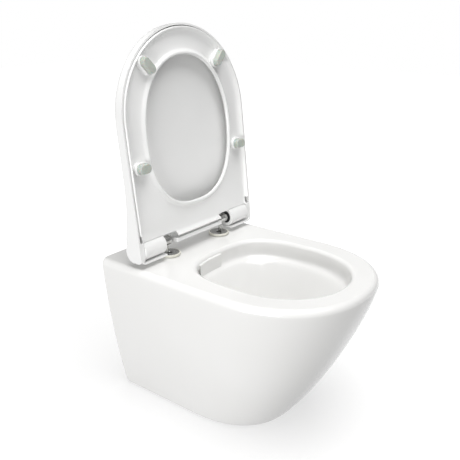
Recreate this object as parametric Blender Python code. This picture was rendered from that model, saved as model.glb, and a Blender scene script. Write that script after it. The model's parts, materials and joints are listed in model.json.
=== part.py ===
"""Wall-hung rimless toilet pan with a wrap-over soft-close seat.

World frame, metres: origin on the wall plane midway between the wall studs,
+X to the viewer's right, -Y out of the wall towards the user, +Z up.
The seat ring and the cover are drawn closed about their hinge line and then
turned up into the raised pose.
"""
import bpy
import bmesh
import math
from mathutils import Vector

# ---- levels above the stud line ------------------------------------------
DECK_Z = 0.080
PAN_HEIGHT = 0.304
INLET_Z = DECK_Z - 0.045
OUTLET_Z = DECK_Z - 0.180

# ---- pan body -------------------------------------------------------------
PAN_HALF_TOP = 0.1775
PAN_HALF_FOOT = 0.1277
PAN_REACH_TOP = 0.488
PAN_REACH_FOOT = 0.3348
PAN_SIDE_TOP = 0.2934
PAN_SIDE_FOOT = 0.1832
PAN_EDGE_R = 0.012
PAN_CORNER_R = 0.007
WALL = 0.011
BACK_WEB = 0.012

# ---- bowl -----------------------------------------------------------------
BOWL_HALF = 0.124
BOWL_REAR = -0.155
BOWL_FRONT = -0.440
BOWL_MID = -0.297
BOWL_EDGE_R = 0.008
BOWL_SHELL = 0.010
# depth below the deck, inset from the opening, shift towards the wall
BOWL_STEPS = (
    (0.028, 0.001, 0.000),
    (0.035, 0.005, 0.000),
    (0.040, 0.013, 0.000),
    (0.052, 0.022, 0.002),
    (0.080, 0.038, 0.006),
    (0.115, 0.054, 0.012),
    (0.150, 0.068, 0.018),
    (0.185, 0.079, 0.022),
    (0.220, 0.087, 0.027),
    (0.248, 0.094, 0.032),
    (0.268, 0.103, 0.036),
    (0.281, 0.114, 0.038),
)

# ---- trapway: distance from the wall, height from the deck, bore radius ----
TRAP_STEPS = (
    (0.262, 0.258, 0.0220),
    (0.232, 0.268, 0.0235),
    (0.203, 0.262, 0.0250),
    (0.180, 0.238, 0.0270),
    (0.162, 0.204, 0.0300),
    (0.138, 0.172, 0.0330),
    (0.106, 0.161, 0.0360),
    (0.074, 0.167, 0.0400),
    (0.042, 0.178, 0.0440),
    (0.020, 0.180, 0.0450),
    (0.000, 0.180, 0.0450),
)
TRAP_SHELL = 0.008

# ---- flush inlet and its hood ----------------------------------------------
INLET_R = 0.0275
INLET_NARROW_R = 0.0190
INLET_SHELL = 0.007
HOOD_LEFT = -0.0720
HOOD_RIGHT = 0.0030
HOOD_PROUD = 0.0050
HOOD_TOP = 0.0070
HOOD_FOOT = 0.0460
HOOD_CORNER_R = 0.0140
SLOT_WIDTH = 0.0085
CHAMBER_FRONT = -0.1462
CHAMBER_BACK = -0.1200

# ---- holes in the pan -------------------------------------------------------
STUD_X = 0.090
STUD_HOLE_R = 0.0115
SEAT_HOLE_X = 0.0775
SEAT_HOLE_Y = -0.0925
SEAT_HOLE_R = 0.0075
WINDOW_IN = 0.064
WINDOW_OUT = 0.116
WINDOW_TOP = DECK_Z - 0.112
WINDOW_FOOT = DECK_Z - 0.262

# ---- hinge line -------------------------------------------------------------
AXIS_Y = -0.0905
AXIS_Z = DECK_Z + 0.0315
RAISED = math.radians(96.5)

# ---- seat ring --------------------------------------------------------------
RING_HALF_REAR = 0.1665
RING_HALF = 0.1695
RING_ARC_AT = 0.235
RING_ARC_REACH = 0.168
RING_REAR = 0.007
RING_UNDER = -0.020
RING_LIP = 0.0035
HOLE_HALF = 0.1175
HOLE_REAR = 0.0670
HOLE_FRONT = 0.3500
BARREL_R = 0.020
BARREL_BORE_R = 0.0135
BARREL_IN = 0.103
BARREL_OUT = 0.160
RING_CLEAR_R = 0.0185
RING_CLEAR_HALF = 0.1026
RING_TRIM_IN = 0.1020
BARREL_BORE_OUT = 0.1500
NOTCH_REACH = 0.033
BARREL_NECK = 0.0176

# ---- cover ------------------------------------------------------------------
COVER_HALF_REAR = 0.1720
COVER_HALF = 0.1745
COVER_ARC_REACH = 0.1735
COVER_REAR = -0.0235
COVER_LIP_H = -0.0170
COVER_SKIN = 0.0036
COVER_EDGE_R = 0.009
COVER_HEEL_R = 0.026
COVER_BASE_H = 0.0060
COVER_HUMP_H = 0.0165
COVER_HUMP_S = 0.062
COVER_DOME = 0.003
HEEL_CENTRE_S = -0.006
SLOT_IN = 0.0705
SLOT_OUT = 0.1025
SLOT_REACH = 0.0088
EAR_IN = 0.1608
EAR_REACH = 0.018
BUSH_R = 0.0080

# ---- hinge metalwork ----------------------------------------------------------
GAP = 0.0003
ROSETTE_R = 0.0220
ROSETTE_H = 0.0040
GASKET_H = 0.0012
STEM_X = 0.0840
STEM_R = 0.0038
HEAD_IN = 0.0770
HEAD_OUT = 0.1020
HEAD_R = 0.0095
SPIGOT_R = 0.0060
DAMPER_R = 0.0130
DAMPER_OUT = 0.1420
SPINDLE_R = 0.0050

# ---- buffers ------------------------------------------------------------------
PAD_FRONT_ANGLE = math.radians(44.0)
PAD_FRONT_REACH = 0.1420
PAD_FRONT_SIZE = (0.036, 0.016)
PAD_REAR_S = 0.156
PAD_REAR_X = 0.1425
PAD_REAR_SIZE = (0.028, 0.018)
PAD_SINK_H = -0.0140
PAD_BOSS_MARGIN = 0.006
COVER_PAD_REACH = 0.150
COVER_PAD_SIZE = 0.012
COVER_PAD_ANGLE = math.radians(30.0)

AROUND_PAN = 12
AROUND_BOWL = 40
AROUND_SEAT = 62
AROUND_BARREL = 28
AROUND_PIN = 16

MATERIALS = {
    "glazed_ceramic": ((0.84, 0.84, 0.82, 1.0), 0.0, 0.08),
    "seat_plastic": ((0.86, 0.86, 0.85, 1.0), 0.0, 0.18),
    "buffer_rubber": ((0.47, 0.50, 0.45, 1.0), 0.0, 0.55),
    "chrome": ((0.72, 0.72, 0.73, 1.0), 1.0, 0.10),
    "steel": ((0.52, 0.52, 0.53, 1.0), 1.0, 0.35),
    "black_plastic": ((0.030, 0.030, 0.032, 1.0), 0.0, 0.45),
    "seal_rubber": ((0.022, 0.022, 0.023, 1.0), 0.0, 0.65),
    "nylon": ((0.62, 0.62, 0.58, 1.0), 0.0, 0.50),
}


# ---- small tools ----------------------------------------------------------------
def clear_scene():
    for obj in list(bpy.data.objects):
        bpy.data.objects.remove(obj, do_unlink=True)


def make_material(name):
    colour, metal, rough = MATERIALS[name]
    material = bpy.data.materials.new(name)
    material.use_nodes = True
    shader = material.node_tree.nodes["Principled BSDF"]
    shader.inputs["Base Color"].default_value = colour
    shader.inputs["Metallic"].default_value = metal
    shader.inputs["Roughness"].default_value = rough
    material.diffuse_color = colour
    return material


def link_mesh(name, bm, material=None):
    bmesh.ops.recalc_face_normals(bm, faces=bm.faces)
    mesh = bpy.data.meshes.new(name)
    bm.to_mesh(mesh)
    bm.free()
    obj = bpy.data.objects.new(name, mesh)
    bpy.context.scene.collection.objects.link(obj)
    if material is not None:
        mesh.materials.append(bpy.data.materials[material])
    return obj


def loft(name, loops, material=None, point_ends=False, ring=False):
    """Skin a row of equal loops; ends close flat, on a centre point, or on themselves."""
    bm = bmesh.new()
    rows = [[bm.verts.new(p) for p in loop] for loop in loops]
    count = len(rows[0])
    pairs = list(zip(rows, rows[1:]))
    if ring:
        pairs.append((rows[-1], rows[0]))
    for low, high in pairs:
        for i in range(count):
            j = (i + 1) % count
            bm.faces.new((low[i], low[j], high[j], high[i]))
    if not ring:
        for row in (rows[0], rows[-1]):
            if point_ends:
                middle = sum((v.co for v in row), Vector()) / count
                tip = bm.verts.new(middle)
                for i in range(count):
                    bm.faces.new((row[i], row[(i + 1) % count], tip))
            else:
                bm.faces.new(row)
    return link_mesh(name, bm, material)


def apply_boolean(target, cutter, operation):
    modifier = target.modifiers.new(operation.lower(), "BOOLEAN")
    modifier.operation = operation
    modifier.solver = "EXACT"
    modifier.object = cutter
    depsgraph = bpy.context.evaluated_depsgraph_get()
    result = bpy.data.meshes.new_from_object(target.evaluated_get(depsgraph))
    target.modifiers.clear()
    target.data = result
    bpy.data.objects.remove(cutter, do_unlink=True)


def cut(target, *cutters):
    for cutter in cutters:
        apply_boolean(target, cutter, "DIFFERENCE")


def join(target, *others):
    for other in others:
        apply_boolean(target, other, "UNION")


def box(name, low, high, material=None):
    bm = bmesh.new()
    bmesh.ops.create_cube(bm, size=1.0)
    size = Vector(high) - Vector(low)
    centre = (Vector(high) + Vector(low)) / 2
    for vert in bm.verts:
        vert.co = Vector((vert.co.x * size.x, vert.co.y * size.y, vert.co.z * size.z)) + centre
    return link_mesh(name, bm, material)


def turned(name, profile, centre, axis, material=None, count=AROUND_PIN, turn=0.0):
    """Turn (radius, distance) pairs about a line; radius above zero throughout."""
    loops = []
    for radius, along in profile:
        loop = []
        for i in range(count):
            angle = 2 * math.pi * (i + turn) / count
            a = radius * math.cos(angle)
            b = radius * math.sin(angle)
            if axis == "X":
                point = (along, a, b)
            elif axis == "Y":
                point = (a, along, b)
            else:
                point = (a, b, along)
            loop.append(Vector(point) + Vector(centre))
        loops.append(loop)
    return loft(name, loops, material)


def tube(name, profile_out, profile_in, centre, axis, material, count=AROUND_PIN):
    """Turn a closed section that keeps clear of the line."""
    section = list(profile_out) + list(reversed(profile_in))
    loops = []
    for radius, along in section:
        loop = []
        for i in range(count):
            angle = 2 * math.pi * i / count
            a = radius * math.cos(angle)
            b = radius * math.sin(angle)
            if axis == "X":
                point = (along, a, b)
            elif axis == "Y":
                point = (a, along, b)
            else:
                point = (a, b, along)
            loop.append(Vector(point) + Vector(centre))
        loops.append(loop)
    return loft(name, loops, material, ring=True)


def prism(name, outline, low, high, material=None):
    """Push a (y, z) outline along X from low to high."""
    loops = [[Vector((x, y, z)) for y, z in outline] for x in (low, high)]
    return loft(name, loops, material)


def signed_power(value, power):
    return math.copysign(abs(value) ** power, value)


def mirror_pairs(build):
    """Run a builder for the left and the right side."""
    return [build(tag, side) for tag, side in (("left", -1.0), ("right", 1.0))]


# ---- pan ------------------------------------------------------------------------
def pan_section(t, inset=0.0, back=0.0):
    """Plan outline of the pan at depth fraction t, drawn in by inset."""
    half = PAN_HALF_FOOT + (PAN_HALF_TOP - PAN_HALF_FOOT) * (1 - t ** 1.24) ** 0.80 - inset
    reach = PAN_REACH_FOOT + (PAN_REACH_TOP - PAN_REACH_FOOT) * (1 - t ** 1.21) ** 0.88 - inset
    side = PAN_SIDE_TOP + (PAN_SIDE_FOOT - PAN_SIDE_TOP) * t
    power = 2 / (2.2 + 0.34 * t)
    corner = PAN_CORNER_R
    points = []
    for k in range(4):
        angle = math.pi / 2 * (1 - k / 3)
        x = half - corner + corner * math.cos(angle)
        y = back - corner + corner * math.sin(angle)
        points.append((x, y))
    points.append((half, -side / 3))
    points.append((half, -2 * side / 3))
    steps = 2 * AROUND_PAN
    for k in range(steps + 1):
        angle = math.pi * k / steps
        x = half * signed_power(math.cos(angle), power)
        y = -side - (reach - side) * math.sin(angle) ** power
        points.append((x, y))
    points.append((-half, -2 * side / 3))
    points.append((-half, -side / 3))
    for k in range(4):
        angle = math.pi / 2 * k / 3
        x = -half + corner - corner * math.cos(angle)
        y = back - corner + corner * math.sin(angle)
        points.append((x, y))
    return points


def pan_outer():
    loops = []
    depth = PAN_HEIGHT - PAN_EDGE_R
    for t in (1.0, 0.985, 0.95, 0.89, 0.81, 0.71, 0.6, 0.48, 0.36, 0.24, 0.12, 0.05, 0.0):
        z = DECK_Z - PAN_EDGE_R - depth * t
        loops.append([Vector((x, y, z)) for x, y in pan_section(t)])
    for k in range(1, 5):
        angle = math.pi / 2 * k / 4
        inset = PAN_EDGE_R * (1 - math.cos(angle))
        z = DECK_Z - PAN_EDGE_R * (1 - math.sin(angle))
        loops.append([Vector((x, y, z)) for x, y in pan_section(0.0, inset)])
    return loft("pan", loops, "glazed_ceramic")


def pan_hollow():
    loops = []
    depth = PAN_HEIGHT - PAN_EDGE_R
    for t in (0.962, 0.90, 0.81, 0.71, 0.6, 0.48, 0.36, 0.24, 0.12, 0.012):
        z = DECK_Z - PAN_EDGE_R - depth * t
        loops.append([Vector((x, y, z)) for x, y in pan_section(t, WALL, -BACK_WEB)])
    return loft("hollow", loops)


def bowl_loop(depth, inset, shift, grow=0.0):
    rear = BOWL_REAR - inset + grow
    front = BOWL_FRONT + inset - grow
    half = BOWL_HALF - inset + grow
    middle = BOWL_MID + shift * 0.6
    rear += shift * 0.35
    front += shift * 1.35
    squareness = max(0.0, 1 - depth / 0.16)
    loop = []
    for i in range(AROUND_BOWL):
        angle = 2 * math.pi * i / AROUND_BOWL
        c = math.cos(angle)
        s = math.sin(angle)
        if s >= 0:
            power = 2 / (2.0 + 1.1 * squareness)
            y = middle + (rear - middle) * s ** power
        else:
            power = 2 / (2.0 + 0.15 * squareness)
            y = middle + (front - middle) * (-s) ** power
        x = half * signed_power(c, power)
        loop.append(Vector((x, y, DECK_Z - depth)))
    return loop


def bowl_cavity():
    loops = [bowl_loop(-0.006, -BOWL_EDGE_R, 0.0)]
    for k in range(5):
        angle = math.pi / 2 * k / 4
        inset = -BOWL_EDGE_R * (1 - math.sin(angle))
        loops.append(bowl_loop(BOWL_EDGE_R * (1 - math.cos(angle)), inset, 0.0))
    for depth, inset, shift in BOWL_STEPS:
        loops.append(bowl_loop(depth, inset, shift))
    return loft("cavity", loops)


def bowl_shell():
    loops = [bowl_loop(0.004, 0.0, 0.0, BOWL_SHELL), bowl_loop(0.020, 0.0, 0.0, BOWL_SHELL)]
    for depth, inset, shift in BOWL_STEPS[1:-1]:
        loops.append(bowl_loop(depth + 0.006, inset, shift, BOWL_SHELL))
    depth, inset, shift = BOWL_STEPS[-1]
    loops.append(bowl_loop(depth + 0.010, inset, shift, BOWL_SHELL))
    loops.append(bowl_loop(depth + 0.0305, inset + 0.004, shift, BOWL_SHELL))
    return loft("bowl_shell", loops)


def trap_path(grow, name, overrun):
    loops = []
    steps = list(TRAP_STEPS)
    if overrun:
        steps.append((-overrun, TRAP_STEPS[-1][1], TRAP_STEPS[-1][2]))
    for i, (out, depth, radius) in enumerate(steps):
        before = steps[max(i - 1, 0)]
        after = steps[min(i + 1, len(steps) - 1)]
        if after[1] == depth:
            before = after
            after = (after[0] - 1.0, after[1])
        along = Vector((0.0, before[0] - after[0], before[1] - after[1])).normalized()
        up = Vector((0.0, -along.z, along.y))
        centre = Vector((0.0, -out, DECK_Z - depth))
        loop = []
        for k in range(AROUND_PIN):
            angle = 2 * math.pi * k / AROUND_PIN
            offset = Vector((math.cos(angle), 0, 0)) + up * math.sin(angle)
            loop.append(centre + offset * (radius + grow))
        loops.append(loop)
    return loft(name, loops)


def inlet_bore(grow, name, back):
    wide = INLET_R + grow
    narrow = INLET_NARROW_R + grow
    profile = ((wide, back), (wide, -0.052), (narrow, -0.066), (narrow, -0.130 - grow))
    return turned(name, profile, (0, 0, INLET_Z), "Y")


def rear_wall(x):
    """Where the bowl's upright rear wall stands at x."""
    depth = BOWL_REAR - BOWL_MID
    return BOWL_MID + depth * (1 - abs(x / BOWL_HALF) ** 3.1) ** (1 / 3.1)


def hood_panel():
    """Curved shield in front of the flush chamber, open at its left end."""
    loops = []
    steps = 14
    round_at = HOOD_RIGHT - HOOD_CORNER_R
    soft = 0.0015
    for k in range(steps + 1):
        x = HOOD_LEFT + (HOOD_RIGHT - HOOD_LEFT) * k / steps
        over = max(0.0, x - round_at)
        rise = HOOD_CORNER_R - math.sqrt(max(0.0, HOOD_CORNER_R ** 2 - over ** 2))
        foot = DECK_Z - HOOD_FOOT + min(rise, 0.85 * HOOD_CORNER_R)
        top = DECK_Z - HOOD_TOP
        face = rear_wall(x) - HOOD_PROUD
        back = rear_wall(x) + 0.005
        section = ((back, top), (face + soft, top), (face, top - soft), (face, foot + soft),
                   (face + soft, foot), (back, foot))
        loops.append([Vector((x, y, z)) for y, z in section])
    return loft("hood", loops)


def hood_chamber():
    high = DECK_Z - HOOD_TOP - 0.012
    low = DECK_Z - HOOD_FOOT + 0.004
    left = HOOD_LEFT - SLOT_WIDTH
    chamber = box("chamber", (left, CHAMBER_FRONT, low), (INLET_NARROW_R, CHAMBER_BACK, high))
    slot = box("slot", (left, -0.190, low + 0.001), (HOOD_LEFT, -0.140, high + 0.004))
    join(chamber, slot)
    return chamber


def chamber_shell():
    high = DECK_Z - 0.008
    low = DECK_Z - HOOD_FOOT - 0.005
    left = HOOD_LEFT - SLOT_WIDTH - 0.008
    return box("chamber_shell", (left, -0.172, low), (INLET_NARROW_R + 0.007, -0.112, high))


def build_pan():
    pan = pan_outer()
    hollow = pan_hollow()
    for side in (-1.0, 1.0):
        boss = turned("boss", ((0.019, -0.030), (0.019, 0.010)), (side * STUD_X, 0, 0), "Y")
        cut(hollow, boss)
        x = side * SEAT_HOLE_X
        lug = turned("lug", ((0.017, -0.028), (0.017, 0.0)), (x, SEAT_HOLE_Y, DECK_Z), "Z")
        cut(hollow, lug)
    cut(hollow, bowl_shell(), trap_path(TRAP_SHELL, "trap_shell", 0.01))
    cut(hollow, inlet_bore(INLET_SHELL, "inlet_shell", 0.01), chamber_shell())
    cut(pan, hollow)
    cut(pan, bowl_cavity())
    join(pan, hood_panel())
    cut(pan, trap_path(0.0, "trap_bore", 0.01), inlet_bore(0.0, "inlet_bore", 0.01))
    cut(pan, hood_chamber())
    for side in (-1.0, 1.0):
        x = side * STUD_X
        hole = ((STUD_HOLE_R, -0.040), (STUD_HOLE_R, 0.010))
        cut(pan, turned("stud", hole, (x, 0, 0), "Y"))
        hole = ((SEAT_HOLE_R, -0.040), (SEAT_HOLE_R, 0.010))
        cut(pan, turned("bolt", hole, (side * SEAT_HOLE_X, SEAT_HOLE_Y, DECK_Z), "Z"))
        xs = sorted((side * WINDOW_IN, side * WINDOW_OUT))
        cut(pan, box("window", (xs[0], -0.030, WINDOW_FOOT), (xs[1], 0.010, WINDOW_TOP)))
    return pan


# ---- seat, drawn closed about its hinge line ---------------------------------------
def seat_outline(half_rear, half, reach, rear, corner, count):
    """Even points round the seat outline: (x, s), s growing away from the hinge."""
    arc_at = RING_ARC_AT
    dense = [(0.0, rear)]
    for k in range(13):
        angle = math.pi / 2 * k / 12
        dense.append((half_rear - corner + corner * math.sin(angle),
                      rear + corner - corner * math.cos(angle)))
    for k in range(1, 60):
        f = k / 60
        s = rear + corner + (arc_at - rear - corner) * f
        ease = math.sin(math.pi / 2 * f)
        dense.append((half_rear + (half - half_rear) * ease, s))
    for k in range(91):
        angle = math.pi / 2 * k / 90
        dense.append((half * math.cos(angle), arc_at + reach * math.sin(angle)))
    dense += [(-x, s) for x, s in reversed(dense[1:-1])]
    lengths = [0.0]
    closed = dense + [dense[0]]
    for a, b in zip(closed, closed[1:]):
        lengths.append(lengths[-1] + math.hypot(b[0] - a[0], b[1] - a[1]))
    total = lengths[-1]
    points = []
    j = 0
    for i in range(count):
        target = total * i / count
        while lengths[j + 1] < target:
            j += 1
        f = (target - lengths[j]) / (lengths[j + 1] - lengths[j])
        a = closed[j]
        b = closed[j + 1]
        points.append((a[0] + (b[0] - a[0]) * f, a[1] + (b[1] - a[1]) * f))
    return points


def inward(points, i):
    """Unit vector pointing into the outline at point i."""
    a = points[i - 1]
    b = points[(i + 1) % len(points)]
    dx = b[0] - a[0]
    ds = b[1] - a[1]
    size = math.hypot(dx, ds)
    return (-ds / size, dx / size)


def hole_point(x, s):
    """Edge of the seat hole seen from its middle towards (x, s)."""
    middle = (HOLE_REAR + HOLE_FRONT) / 2
    half_length = (HOLE_FRONT - HOLE_REAR) / 2
    angle = math.atan2(s - middle, x)
    c = abs(math.cos(angle)) / HOLE_HALF
    d = abs(math.sin(angle)) / half_length
    power = 2.12 if s > middle else 2.45
    radius = (c ** power + d ** power) ** (-1 / power)
    return (radius * math.cos(angle), middle + radius * math.sin(angle))


def seat_point(x, s, h):
    """Closed seat coordinates to hinge-centred metres."""
    return Vector((x, -s, h))


def ring_body():
    points = seat_outline(RING_HALF_REAR, RING_HALF, RING_ARC_REACH, RING_REAR, 0.014, AROUND_SEAT)
    lip = RING_LIP
    # distance from the outer edge, distance from the hole edge, height
    section = (
        (0.0000, None, RING_UNDER + 0.0012),
        (0.0000, None, -0.0110),
        (0.0012, None, -0.0075),
        (0.0045, None, -0.0050),
        (0.0120, None, -0.0034),
        (None, 0.0140, -0.0052),
        (None, 0.0060, -0.0078),
        (None, 0.0000, -0.0150),
        (None, 0.0012, -0.0186),
        (None, 0.0045, RING_UNDER),
        (None, 0.0080, -0.0180),
        (None, 0.0125, -0.0138),
        (0.0200, None, -0.0115),
        (lip + 0.0060, None, -0.0120),
        (lip + 0.0006, None, RING_UNDER + 0.0010),
        (lip - 0.0010, None, RING_UNDER),
        (0.0012, None, RING_UNDER),
    )
    loops = []
    for x, s in points:
        hx, hs = hole_point(x, s)
        span = math.hypot(hx - x, hs - s)
        loop = []
        for from_edge, from_hole, h in section:
            d = from_edge if from_hole is None else span - from_hole
            f = d / span
            loop.append(seat_point(x + (hx - x) * f, s + (hs - s) * f, h))
        loops.append(loop)
    return loft("seat_ring", loops, "seat_plastic", ring=True)


def rounded_block(name, centre, length, width, low, high, turn, material):
    """Oblong with half-round ends in plan, standing between two heights."""
    loops = []
    rows = ((high, 0.0), (low + 0.0012, 0.0), (low, 0.0012))
    for h, inset in rows:
        loop = []
        for end in (1, -1):
            for k in range(9):
                angle = -math.pi / 2 + math.pi * k / 8 + (0 if end > 0 else math.pi)
                radius = width / 2 - inset
                a = end * (length - width) / 2 + radius * math.cos(angle)
                b = radius * math.sin(angle)
                x = centre[0] + a * math.cos(turn) - b * math.sin(turn)
                s = centre[1] + a * math.sin(turn) + b * math.cos(turn)
                loop.append(seat_point(x, s, h))
        loops.append(loop)
    return loft(name, loops, material)


def pad_places():
    """Tag, centre, length, width and turn of the four seat pads."""
    places = []
    for tag, side in (("left", -1.0), ("right", 1.0)):
        x = side * PAD_FRONT_REACH * math.sin(PAD_FRONT_ANGLE) * 1.03
        s = RING_ARC_AT + PAD_FRONT_REACH * math.cos(PAD_FRONT_ANGLE)
        turn = math.pi / 2 - side * PAD_FRONT_ANGLE
        places.append(("front_" + tag, (x, s), *PAD_FRONT_SIZE, turn))
        places.append(("rear_" + tag, (side * PAD_REAR_X, PAD_REAR_S), *PAD_REAR_SIZE, 0.0))
    return places


def build_ring():
    ring = ring_body()
    for tag, centre, length, width, turn in pad_places():
        socket = rounded_block("socket", centre, length + PAD_BOSS_MARGIN, width + PAD_BOSS_MARGIN,
                               RING_UNDER - 0.0010, -0.0080, turn, None)
        join(ring, socket)
    cut(ring, turned("clear", ((RING_CLEAR_R, -RING_CLEAR_HALF), (RING_CLEAR_R, RING_CLEAR_HALF)),
                     (0, 0, 0), "X", count=AROUND_BARREL))
    for side in (-1.0, 1.0):
        xs = sorted((side * RING_TRIM_IN, side * 0.19))
        cut(ring, box("rear", (xs[0], -BARREL_NECK, -0.04), (xs[1], 0.05, 0.04)))
        xs = sorted((side * (BARREL_OUT + 0.0003), side * 0.19))
        cut(ring, box("notch", (xs[0], -NOTCH_REACH, -0.04), (xs[1], 0.05, 0.04)))
        xs = sorted((side * BARREL_IN, side * BARREL_OUT))
        barrel = turned("barrel", ((BARREL_R, xs[0]), (BARREL_R, xs[1])), (0, 0, 0), "X",
                        count=AROUND_BARREL)
        join(ring, barrel)
        xs = sorted((side * (BARREL_IN - 0.01), side * BARREL_BORE_OUT))
        bore = turned("bore", ((BARREL_BORE_R, xs[0]), (BARREL_BORE_R, xs[1])), (0, 0, 0), "X")
        cut(ring, bore)
        xs = sorted((side * (BARREL_BORE_OUT - 0.01), side * (BARREL_OUT + 0.01)))
        bore = turned("bore", ((BUSH_R, xs[0]), (BUSH_R, xs[1])), (0, 0, 0), "X")
        cut(ring, bore)
    return ring


def build_pads():
    pads = []
    for tag, centre, length, width, turn in pad_places():
        socket = rounded_block("socket_cut", centre, length + 2 * GAP, width + 2 * GAP,
                               RING_UNDER - 0.010, PAD_SINK_H, turn, None)
        pad = rounded_block("ring_buffer_" + tag, centre, length, width,
                            -(AXIS_Z - DECK_Z) + GAP, PAD_SINK_H - GAP, turn, "buffer_rubber")
        pads.append((pad, socket))
    return pads


def cover_top(s):
    return COVER_BASE_H + COVER_HUMP_H * math.exp(-(((s - 0.008) / COVER_HUMP_S) ** 2))


def cover_body():
    points = seat_outline(COVER_HALF_REAR, COVER_HALF, COVER_ARC_REACH, COVER_REAR,
                          0.012, AROUND_SEAT)
    middle = (0.0, 0.20)
    rows = []
    for skin in (COVER_SKIN, 0.0):
        chain = [("edge", 0.0, None)]
        chain += [("arc", math.pi / 2 * k / 4, None) for k in range(5)]
        chain += [("fill", f, None) for f in (0.25, 0.58, 0.90)]
        chain = [(kind, value, skin) for kind, value, _ in chain]
        if skin:
            chain.reverse()
        rows += chain
    loops = []
    for kind, value, skin in rows:
        loop = []
        for i, (x, s) in enumerate(points):
            nx, ns = inward(points, i)
            backness = max(0.0, ns)
            radius = COVER_EDGE_R + (COVER_HEEL_R - COVER_EDGE_R) * backness ** 3 - skin
            px = x + nx * skin
            ps = s + ns * skin
            inner_x = px + nx * radius
            inner_s = ps + ns * radius
            crown = cover_top(inner_s) - skin
            if kind == "edge":
                loop.append(seat_point(px, ps, COVER_LIP_H))
            elif kind == "arc":
                d = radius * (1 - math.cos(value))
                h = crown - radius * (1 - math.sin(value))
                loop.append(seat_point(px + nx * d, ps + ns * d, h))
            else:
                fx = inner_x + (middle[0] - inner_x) * value
                fs = inner_s + (middle[1] - inner_s) * value
                h = cover_top(fs) - skin + COVER_DOME * (1 - (1 - value) ** 2)
                loop.append(seat_point(fx, fs, h))
        loops.append(loop)
    return loft("seat_cover", loops, "seat_plastic", point_ends=True)


def ear_block(side):
    outline = []
    for s, h in ((EAR_REACH, COVER_LIP_H), (-0.0130, COVER_LIP_H), (-0.0190, -0.0145),
                 (-0.0220, -0.0090), (-0.0222, -0.0020), (-0.0195, 0.0060), (-0.0130, 0.0135),
                 (-0.0050, 0.0180), (EAR_REACH, 0.0185)):
        outline.append((-s, h))
    xs = sorted((side * EAR_IN, side * 0.1705))
    return prism("ear", outline, xs[0], xs[1])


def build_cover():
    cover = cover_body()
    for side in (-1.0, 1.0):
        join(cover, ear_block(side))
    wall = box("heel", (-SLOT_IN, -0.0020, COVER_LIP_H + 0.001), (SLOT_IN, 0.0060, 0.0200))
    cut(cover, box("centre", (-SLOT_OUT, -HEEL_CENTRE_S, -0.03), (SLOT_OUT, 0.05, 0.04)))
    join(cover, wall)
    for side in (-1.0, 1.0):
        xs = sorted((side * SLOT_IN, side * SLOT_OUT))
        cut(cover, box("slot", (xs[0], -SLOT_REACH, -0.03), (xs[1], 0.05, 0.04)))
        xs = sorted((side * (SLOT_OUT - 0.001), side * (EAR_IN - 0.0003)))
        clear = turned("clear", ((BARREL_R + 0.0006, xs[0]), (BARREL_R + 0.0006, xs[1])),
                       (0, 0, 0), "X", count=AROUND_BARREL)
        cut(cover, clear)
        xs = sorted((side * (EAR_IN - 0.01), side * 0.1690))
        cut(cover, turned("bush", ((BUSH_R, xs[0]), (BUSH_R, xs[1])), (0, 0, 0), "X"))
    return cover


def build_cover_pads():
    pads = []
    for tag, side in (("left", -1.0), ("right", 1.0)):
        x = side * COVER_PAD_REACH * math.sin(COVER_PAD_ANGLE)
        s = RING_ARC_AT + COVER_PAD_REACH * math.cos(COVER_PAD_ANGLE)
        top = cover_top(s) - COVER_SKIN - GAP
        pad = rounded_block("cover_buffer_" + tag, (x, s), COVER_PAD_SIZE, COVER_PAD_SIZE,
                            -0.0030 + GAP, top, 0.0, "buffer_rubber")
        pads.append(pad)
    return pads


# ---- hinges ---------------------------------------------------------------------
def build_gasket(tag, side):
    centre = (side * SEAT_HOLE_X, SEAT_HOLE_Y, DECK_Z + GAP)
    outer = ((ROSETTE_R - 0.0010, 0.0), (ROSETTE_R - 0.0010, GASKET_H))
    inner = ((0.0055, 0.0), (0.0055, GASKET_H))
    return tube("hinge_gasket_" + tag, outer, inner, centre, "Z", "seal_rubber")


def build_rosette(tag, side):
    centre = (side * SEAT_HOLE_X, SEAT_HOLE_Y, DECK_Z + 2 * GAP + GASKET_H)
    r = ROSETTE_R
    h = ROSETTE_H
    outer = ((r, 0.0), (r, h - 0.0012), (r - 0.0012, h), (r - 0.0030, h), (r - 0.0042, h - 0.0008))
    inner = ((0.0048, 0.0), (0.0048, h - 0.0008))
    rosette = tube("hinge_rosette_" + tag, outer, inner, centre, "Z", "chrome", count=AROUND_BARREL)
    socket = turned("socket", ((STEM_R + 0.0003, 0.0008), (STEM_R + 0.0003, 0.01)),
                    (side * STEM_X, AXIS_Y, centre[2]), "Z")
    cut(rosette, socket)
    return rosette


def build_post(tag, side):
    foot = DECK_Z + 2 * GAP + GASKET_H + 0.0008 + GAP
    stem = turned("stem", ((STEM_R, foot), (STEM_R, AXIS_Z)), (side * STEM_X, AXIS_Y, 0), "Z")
    r = HEAD_R
    profile = [(0.0022, HEAD_IN + 0.004), (0.0022, HEAD_IN), (r - 0.0012, HEAD_IN),
               (r, HEAD_IN + 0.0012), (r, HEAD_OUT - 0.0005), (SPIGOT_R, HEAD_OUT),
               (SPIGOT_R, 0.1120)]
    profile = [(radius, side * along) for radius, along in profile]
    head = turned("hinge_post_" + tag, profile, (0, AXIS_Y, AXIS_Z), "X", "chrome")
    join(head, stem)
    return head


def build_damper(tag, side):
    r = DAMPER_R
    outer = ((r, BARREL_IN + 0.0004), (r, DAMPER_OUT - 0.001), (r - 0.001, DAMPER_OUT))
    inner = ((SPIGOT_R + GAP, BARREL_IN + 0.0004), (SPIGOT_R + GAP, 0.1125),
             (SPINDLE_R + GAP, 0.1125), (SPINDLE_R + GAP, DAMPER_OUT))
    outer = [(radius, side * along) for radius, along in outer]
    inner = [(radius, side * along) for radius, along in inner]
    return tube("damper_body_" + tag, outer, inner, (0, AXIS_Y, AXIS_Z), "X", "black_plastic")


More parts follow.
